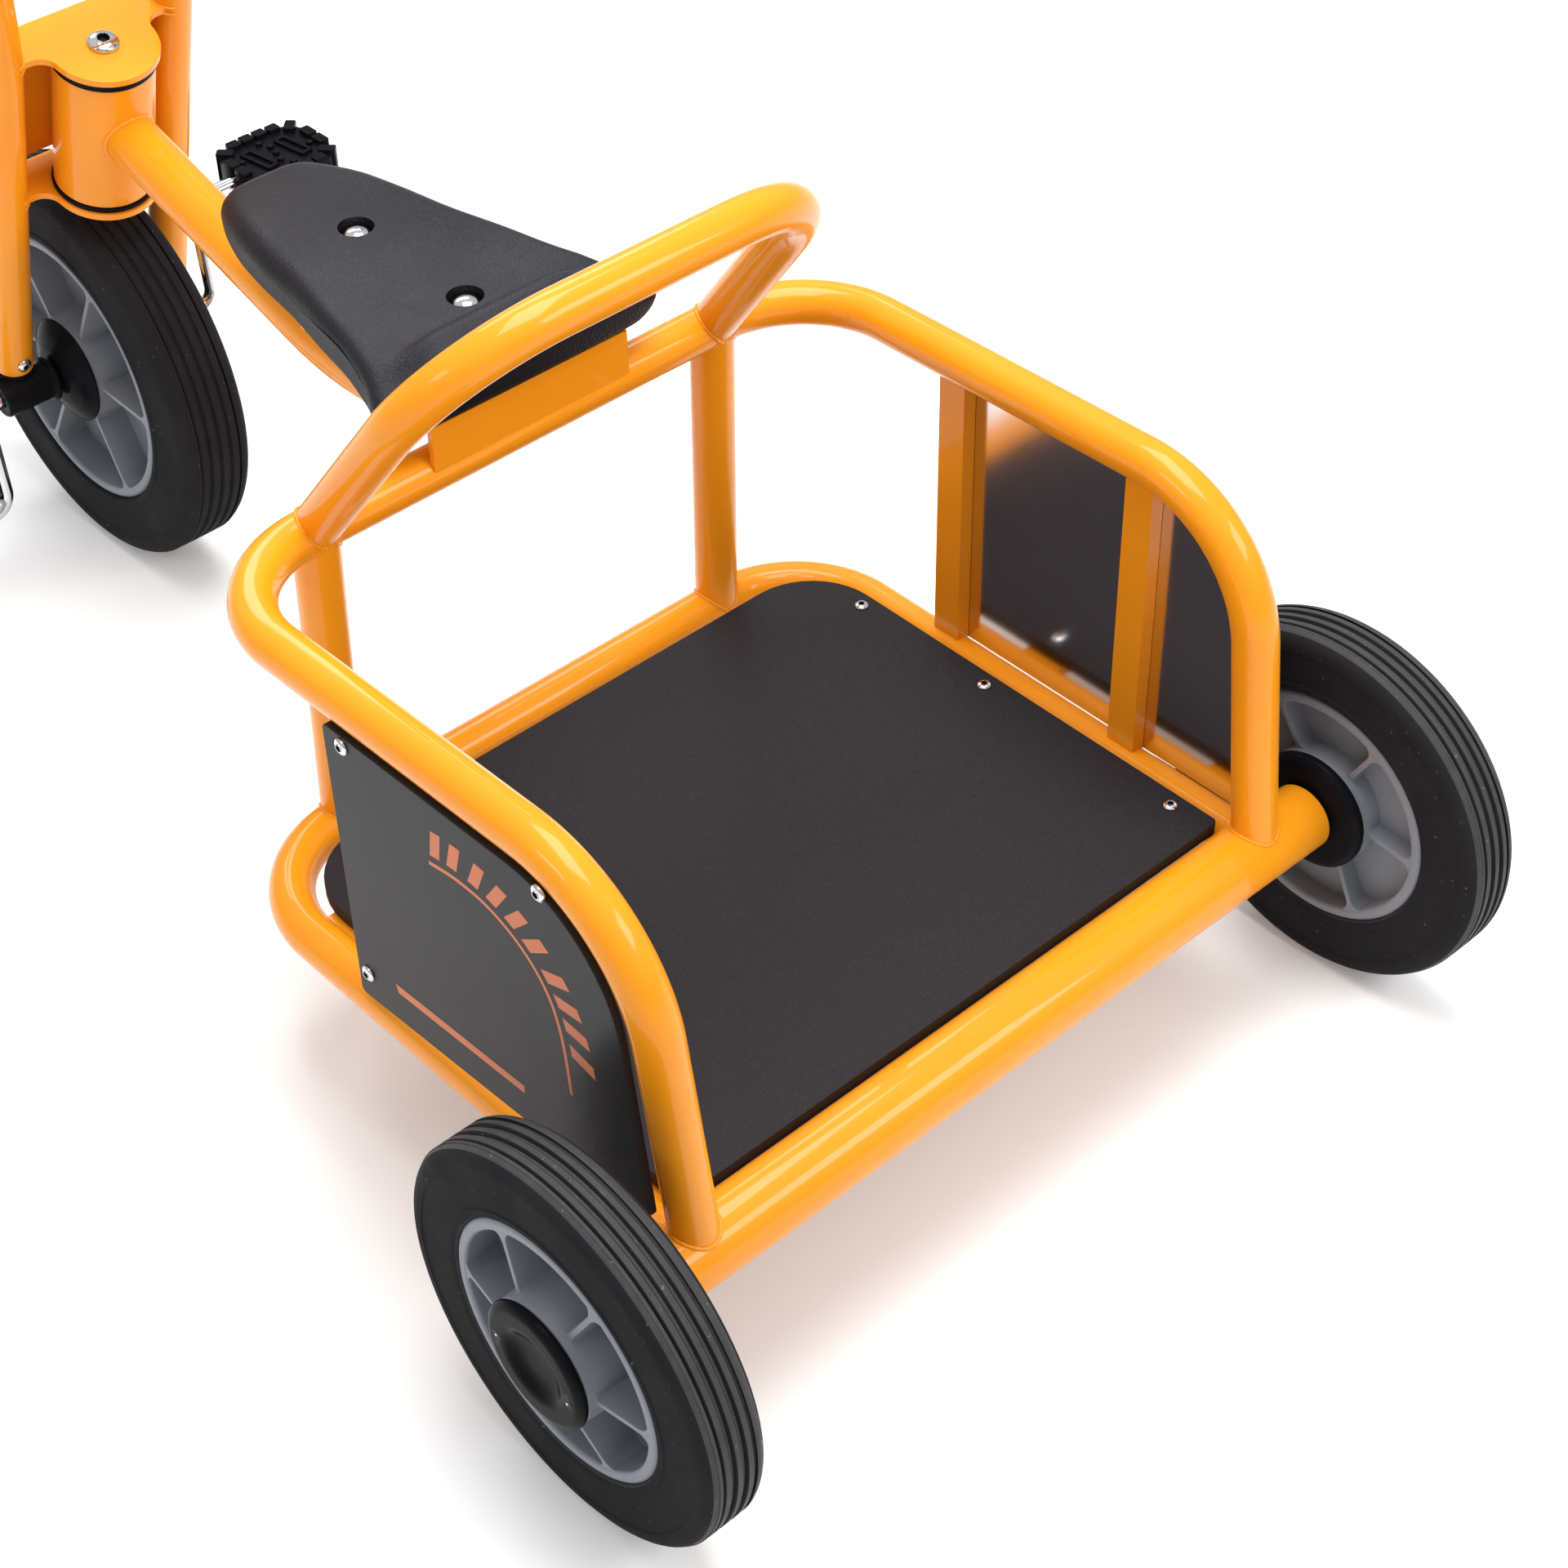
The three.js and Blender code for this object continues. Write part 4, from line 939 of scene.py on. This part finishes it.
def tyre_profile(radius, bore, half, grooves, shoulder):
    """Half-open section from the bore over the outer shoulder, the grooved tread and back."""
    turn_in = radius - shoulder * 1.15
    side = [
        (bore, half - 2.5), (bore + 0.8, half - 0.8), (bore + 3, half), (bore + 5.5, half),
        (bore + 6.3, half - 0.7), (radius - shoulder * 1.45, half - 0.7), (radius - shoulder * 1.35, half),
        (turn_in, half),
    ]
    for k in range(1, 9):
        a = radians(11.25 * k)
        reach = shoulder * 1.15 * sin(a) * 0.985
        side.append((turn_in + reach, half - shoulder + shoulder * cos(a)))
    tread = []
    for z in grooves:
        crown = radius - 0.4 * (z / half) ** 2
        tread += [(crown, z + 2.1), (crown - 0.5, z + 1.5), (crown - 2.0, z + 0.8), (crown - 2.0, z - 0.8),
                  (crown - 0.5, z - 1.5), (crown, z - 2.1)]
    back = [(r, -z) for r, z in side[::-1]]
    return side + tread + back + [side[0]]


def fillet_width(radius, depth):
    """How much a fillet adds to half the rib's width, at a depth into it."""
    reach = max(0, min(1, depth / radius)) * radius
    return radius - sqrt(radius ** 2 - reach ** 2)


def rib_mesh(turn, inner, hub, rib_half):
    """One rib from the hub barrel to the rim, with a fillet at each end, along local X."""
    outer_fillet, hub_fillet, half = 6.5, 4.0, 1.7
    from_hub = [hub + d for d in (-1, 0, 0.8, 2, 4)]
    to_rim = [inner - d for d in (9, 6.5, 4.5, 3, 1.8, 0.9, 0.3, 0, -1.5)]
    outline = []
    for r in [*from_hub, (hub + inner) / 2, *to_rim]:
        w = half + fillet_width(hub_fillet, hub + hub_fillet - r)
        w += fillet_width(outer_fillet, r - inner + outer_fillet)
        outline.append((r, w))
    rib = outline + [(r, -w) for r, w in outline[::-1]]
    verts, faces = slab_mesh(rib, -1, 1, turn)
    count = len(rib)
    for i, (r, w) in enumerate(rib):
        t = max(0, min(1, (r - hub) / (inner - hub)))
        low = -rib_half * t - (rib_half - 3) * (1 - t)
        high = RIB_AT_HUB * (1 - t) + rib_half * t
        verts[i] = turn @ mm(r, w, low)
        verts[count + i] = turn @ mm(r, w, high)
    return verts, faces


def spoked_centre(place, rim, rim_half, hub_low, hub_high, web, rib_half):
    """Rim, hub barrel, web and six ribs, as one mesh in the wheel's own frame."""
    inner, hub = rim - 7.5, HUB_R
    edge = [(rim, 0), (rim, rim_half - 1.6), (rim - 2.2, rim_half), (inner + 1.2, rim_half),
            (inner, rim_half - 1.5)]
    rim_profile = rounded(edge + [(r, -z) for r, z in edge[::-1]], 0.9, 3)
    hub_profile = rounded([
        (AXLE_BORE, hub_low), (hub - 1, hub_low), (hub, hub_low + 1), (hub + 1.6, web),
        (hub, hub_high - 1), (hub - 1, hub_high), (AXLE_BORE, hub_high), (AXLE_BORE, hub_low),
    ], 0.8, 3)
    web_profile = [
        (hub - 3, web - 1.6), (inner + 2, web - 1.6), (inner + 2, web + 1.6), (hub - 3, web + 1.6),
        (hub - 3, web - 1.6),
    ]
    parts = [lathe_mesh(rim_profile, place, 128), lathe_mesh(hub_profile, place, 96),
             lathe_mesh(web_profile, place, 96)]
    for k in range(6):
        turn = place @ Matrix.Rotation(radians(90 + 60 * k), 4, "Z")
        parts.append(rib_mesh(turn, inner, hub, rib_half))
    return merge(parts)


def rear_wheels():
    for side, name in SIDES:
        body = f"rear_wheel_{name}"
        place = along_x(at(REAR_X * side, 0, AXLE_Z), side)
        profile = tyre_profile(AXLE_Z, **REAR_TYRE)
        tyre = lathe(f"tyre_{name}", profile, place, "rubber+tread", 160, body=body,
                     stands_for=[f"rear_tyre_{name}"], sharp=28)
        for poly in tyre.data.polygons:
            poly.material_index = int(abs(poly.normal.x) < 0.55)
        verts, faces = spoked_centre(place, **REAR_CENTRE)
        bevel(piece(f"wheel_{name}", verts, faces, "grey", body=body, sharp=30,
                    stands_for=[f"rear_wheel_centre_{name}"]), 0.7, 2, 50)
        cap = rounded([(0, 28.9), (12, 29.2), (17, 30.4), (22.5, 33.6), (25, 34.2), (35, 34.2), (38.8, 31.8),
                       (38.8, 28.2), (0, 28.2)], 2.2, 6)
        lathe(f"hub_lid_{name}", cap, place, "black", 96, body=body, stands_for=[f"rear_hub_cap_{name}"])
        for k, spin in (("a", 0), ("b", pi)):
            turn = Matrix.Rotation(radians(90) + spin, 4, "Z") @ Matrix.Translation((0.0285, 0, 0))
            keyhole(f"hub_keyhole_{name}_{k}", place @ turn, body)
        cover = [(6.6, -28.2), (36, -28.2), (39.5, -25), (39.5, -20.3), (6.6, -20.3), (6.6, -28.2)]
        lathe(f"hub_shield_{name}", rounded(cover, 1.5, 4), place, "black", 96, body=body,
              stands_for=[f"rear_hub_cover_{name}"])


def keyhole(name, place, body):
    """A keyhole drawn as a thin slab just proud of the hub lid, in near-black as painted shade for the
    slot's hollow, with a small bright pin in it.
    """
    angles = [radians(a) for a in range(140, 401, 20)]
    hole = [(3.6 * cos(a), 3.6 * sin(a) - 1.5) for a in angles]
    outline = hole + [(1.9, 5.6), (0.8, 6.8), (-0.8, 6.8), (-1.9, 5.6)]
    verts, faces = slab_mesh(outline, 33.4, 34.35, place)
    piece(name, verts, faces, "socket", body=body, slot="black_plastic")
    glint = [(0, 34.35), (0.9, 34.35), (0.9, 34.6), (0.4, 34.8), (0, 34.85)]
    lathe(name + "_pin", glint, place @ Matrix.Translation((0, -0.0015, 0)), "chrome", 24, body=body)


def front_wheel():
    place = along_x(FRONT_AXLE)
    profile = tyre_profile(FRONT_AXLE.z * 1000, **FRONT_TYRE)
    lathe("tyre_front", profile, place, "rubber", 180, body="front_wheel", stands_for=["front_tyre"],
          sharp=28)
    verts, faces = spoked_centre(place, **FRONT_CENTRE)
    bevel(piece("wheel_front", verts, faces, "grey", body="front_wheel", sharp=30,
                stands_for=["front_wheel_centre"]), 0.7, 2, 50)
    for side, name in SIDES:
        cup = rounded([
            (CRANK_BORE, 40.2), (9, 40), (20, 38.6), (30, 35), (36, 31.5), (39.4, 29), (39.4, 27.3),
            (CRANK_BORE, 27.3), (CRANK_BORE, 40.2),
        ], 1.5, 4)
        lathe(f"hub_dome_{name}", cup, along_x(FRONT_AXLE, side), "black", 96, body="front_wheel",
              stands_for=[f"front_hub_cup_{name}"])


# ------------------------------------------------------------------ crank and pedals

CRANK_R, CRANK_BEND_R = 5.5, 14
CRANK_ARM_X, CRANK_END_X = 99, 208


def crank_and_pedals():
    left, right = PEDALS["left"], PEDALS["right"]
    spot = lambda x, point: Vector((x / 1000, point.y, point.z))
    corners = [
        spot(CRANK_END_X, left), spot(CRANK_ARM_X, left), spot(CRANK_ARM_X, FRONT_AXLE),
        spot(-CRANK_ARM_X, FRONT_AXLE), spot(-CRANK_ARM_X, right), spot(-CRANK_END_X, right),
    ]
    verts, faces = sweep_mesh(bent(corners, [CRANK_BEND_R] * 4, 6), CRANK_R, 24)
    piece("crank_rod", verts, faces, "chrome", body="front_wheel", stands_for=["crank"])
    for name, point in PEDALS.items():
        pedal(name, point)


def pedal(name, point):
    place = Matrix.Translation(point)
    parts = [slab_mesh(box_outline(74, 65, 18, 6), -8, 8, place)]

    def block(x, y, w, h, turn=0.0, low=-12, high=12):
        spin = Matrix.Translation(mm(x, y, 0)) @ Matrix.Rotation(radians(turn), 4, "Z")
        return slab_mesh(box_outline(w, h, 1.2, 2), low, high, place @ spin)

    for x in (-17.4, -5.8, 5.8, 17.4):
        parts.append(block(x, -30.4 + abs(x) * 0.06, 9.8, 8.6))
        parts.append(block(x, 30.4 - abs(x) * 0.06, 9.8, 8.6))
    for sx in (1, -1):
        parts.append(block(34.2 * sx, -7.4, 8.2, 12.6))
        parts.append(block(34.2 * sx, 7.4, 8.2, 12.6))
        for sy in (1, -1):
            parts.append(block(29 * sx, 23.4 * sy, 8.2, 13, -45 * sx * sy))
    for low, high in ((7.5, 10.8), (-10.8, -7.5)):
        for cx in (-15, 15):
            for dx in (-4.1, 4.1):
                parts.append(block(cx + dx, 0, 2.6, 30, 8, low, high))
            for dy in (-14.4, 14.4):
                parts.append(block(cx - dy * 0.14, dy, 10.8, 2.8, 8, low, high))
        for x, y in ((0, 0), (-2, -10), (3, 10), (2, -19), (-2, 19), (26.5, -5), (-26.5, 5)):
            parts.append(block(x, y, 4.6, 4.4, 20, low, high))
    verts, faces = merge(parts)
    obj = piece(f"pedal_block_{name}", verts, faces, "black", body=f"{name}_pedal",
                stands_for=[f"pedal_{name}"], sharp=30)
    bevel(obj, 0.5, 2, 50)


# ------------------------------------------------------------------ carried-over CAD nodes

KEPT = {
    "paint": ["panel_bar_left_front", "panel_bar_left_rear", "panel_bar_right_front", "panel_bar_right_rear",
              "deck_bearer_front", "deck_bearer_middle", "deck_bearer_rear", "seat_bracket"],
    "chrome": ["rear_axle_shaft", "axle_nut_left", "axle_nut_right", "steering_nut"],
    "black": ["rear_wheel_bush_left", "rear_wheel_bush_right"],
}


def finish_kept_nodes():
    for finish, nodes in KEPT.items():
        for node in nodes:
            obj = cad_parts[node]
            obj.data.materials.clear()
            obj.data.materials.append(FINISH[finish])


# ------------------------------------------------------------------ stage, lights and camera

FLOOR_HALF = 9
# Place and size in metres, power in watts.
LAMPS = {
    "top": ((-0.15, 0.1, 2.1), (1.5, 1.0), 36),
    "rear": ((-0.9, 2.1, 1.9), (1.3, 0.8), 24),
    "front": ((-0.9, -2.0, 2.0), (1.6, 0.7), 20),
    "side": ((2.4, -0.2, 2.0), (0.9, 0.5), 7),
}


def stage():
    mesh = bpy.data.meshes.new("floor")
    corners = [(x * FLOOR_HALF, y * FLOOR_HALF, -0.0005) for x, y in ((-1, -1), (1, -1), (1, 1), (-1, 1))]
    mesh.from_pydata(corners, [], [(0, 1, 2, 3)])
    mesh.materials.append(FINISH["floor"])
    floor = placed("floor", mesh)
    world = bpy.data.worlds.new("studio")
    bpy.context.scene.world = world
    world.use_nodes = True
    nodes, links = world.node_tree.nodes, world.node_tree.links
    coords, split = nodes.new("ShaderNodeTexCoord"), nodes.new("ShaderNodeSeparateXYZ")
    ramp = nodes.new("ShaderNodeMapRange")
    links.new(coords.outputs["Generated"], split.inputs["Vector"])
    links.new(split.outputs["Z"], ramp.inputs["Value"])
    for key, value in (("From Min", 0.05), ("From Max", 0.75), ("To Min", 0.4), ("To Max", 0.8)):
        ramp.inputs[key].default_value = value
    links.new(ramp.outputs["Result"], nodes["Background"].inputs["Strength"])
    nodes["Background"].inputs["Color"].default_value = (1, 1, 1, 1)
    for name, (place, size, power) in LAMPS.items():
        light = bpy.data.lights.new(name, "AREA")
        light.shape = "RECTANGLE"
        light.size, light.size_y = size
        light.energy = power
        lamp = placed(name, light)
        lamp.location = place
        lamp.rotation_mode = "QUATERNION"
        lamp.rotation_quaternion = (Vector((0, 0, 0.25)) - Vector(place)).to_track_quat("-Z", "Y")
    bpy.context.scene.view_settings.view_transform = "Standard"


# Azimuth, elevation and roll in degrees.
CAMERA_ANGLES = (138.07, 41.79, -1.21)
CAMERA_PLACE = (869.5, 796.7, 1366.3)
LENS_MM, SENSOR_MM = 69.28, 36


def camera():
    azimuth, elevation, roll = (radians(a) for a in CAMERA_ANGLES)
    forward = -Vector((sin(azimuth) * cos(elevation), -cos(azimuth) * cos(elevation),
                       sin(elevation)))
    right = forward.cross(Vector((0, 0, 1))).normalized()
    up = right.cross(forward)
    right, up = right * cos(roll) + up * sin(roll), up * cos(roll) - right * sin(roll)
    data = bpy.data.cameras.new("camera")
    data.sensor_width = SENSOR_MM
    data.lens = LENS_MM
    data.clip_start, data.clip_end = 0.05, 50
    cam = placed("camera", data)
    basis = Matrix((right, up, -forward)).transposed().to_4x4()
    cam.matrix_world = Matrix.Translation(at(*CAMERA_PLACE)) @ basis
    bpy.context.scene.camera = cam


rear_frame()
deck()
panels()
saddle()
head_and_fork()
housings()
rear_wheels()
front_wheel()
crank_and_pedals()
finish_kept_nodes()
stage()
camera()
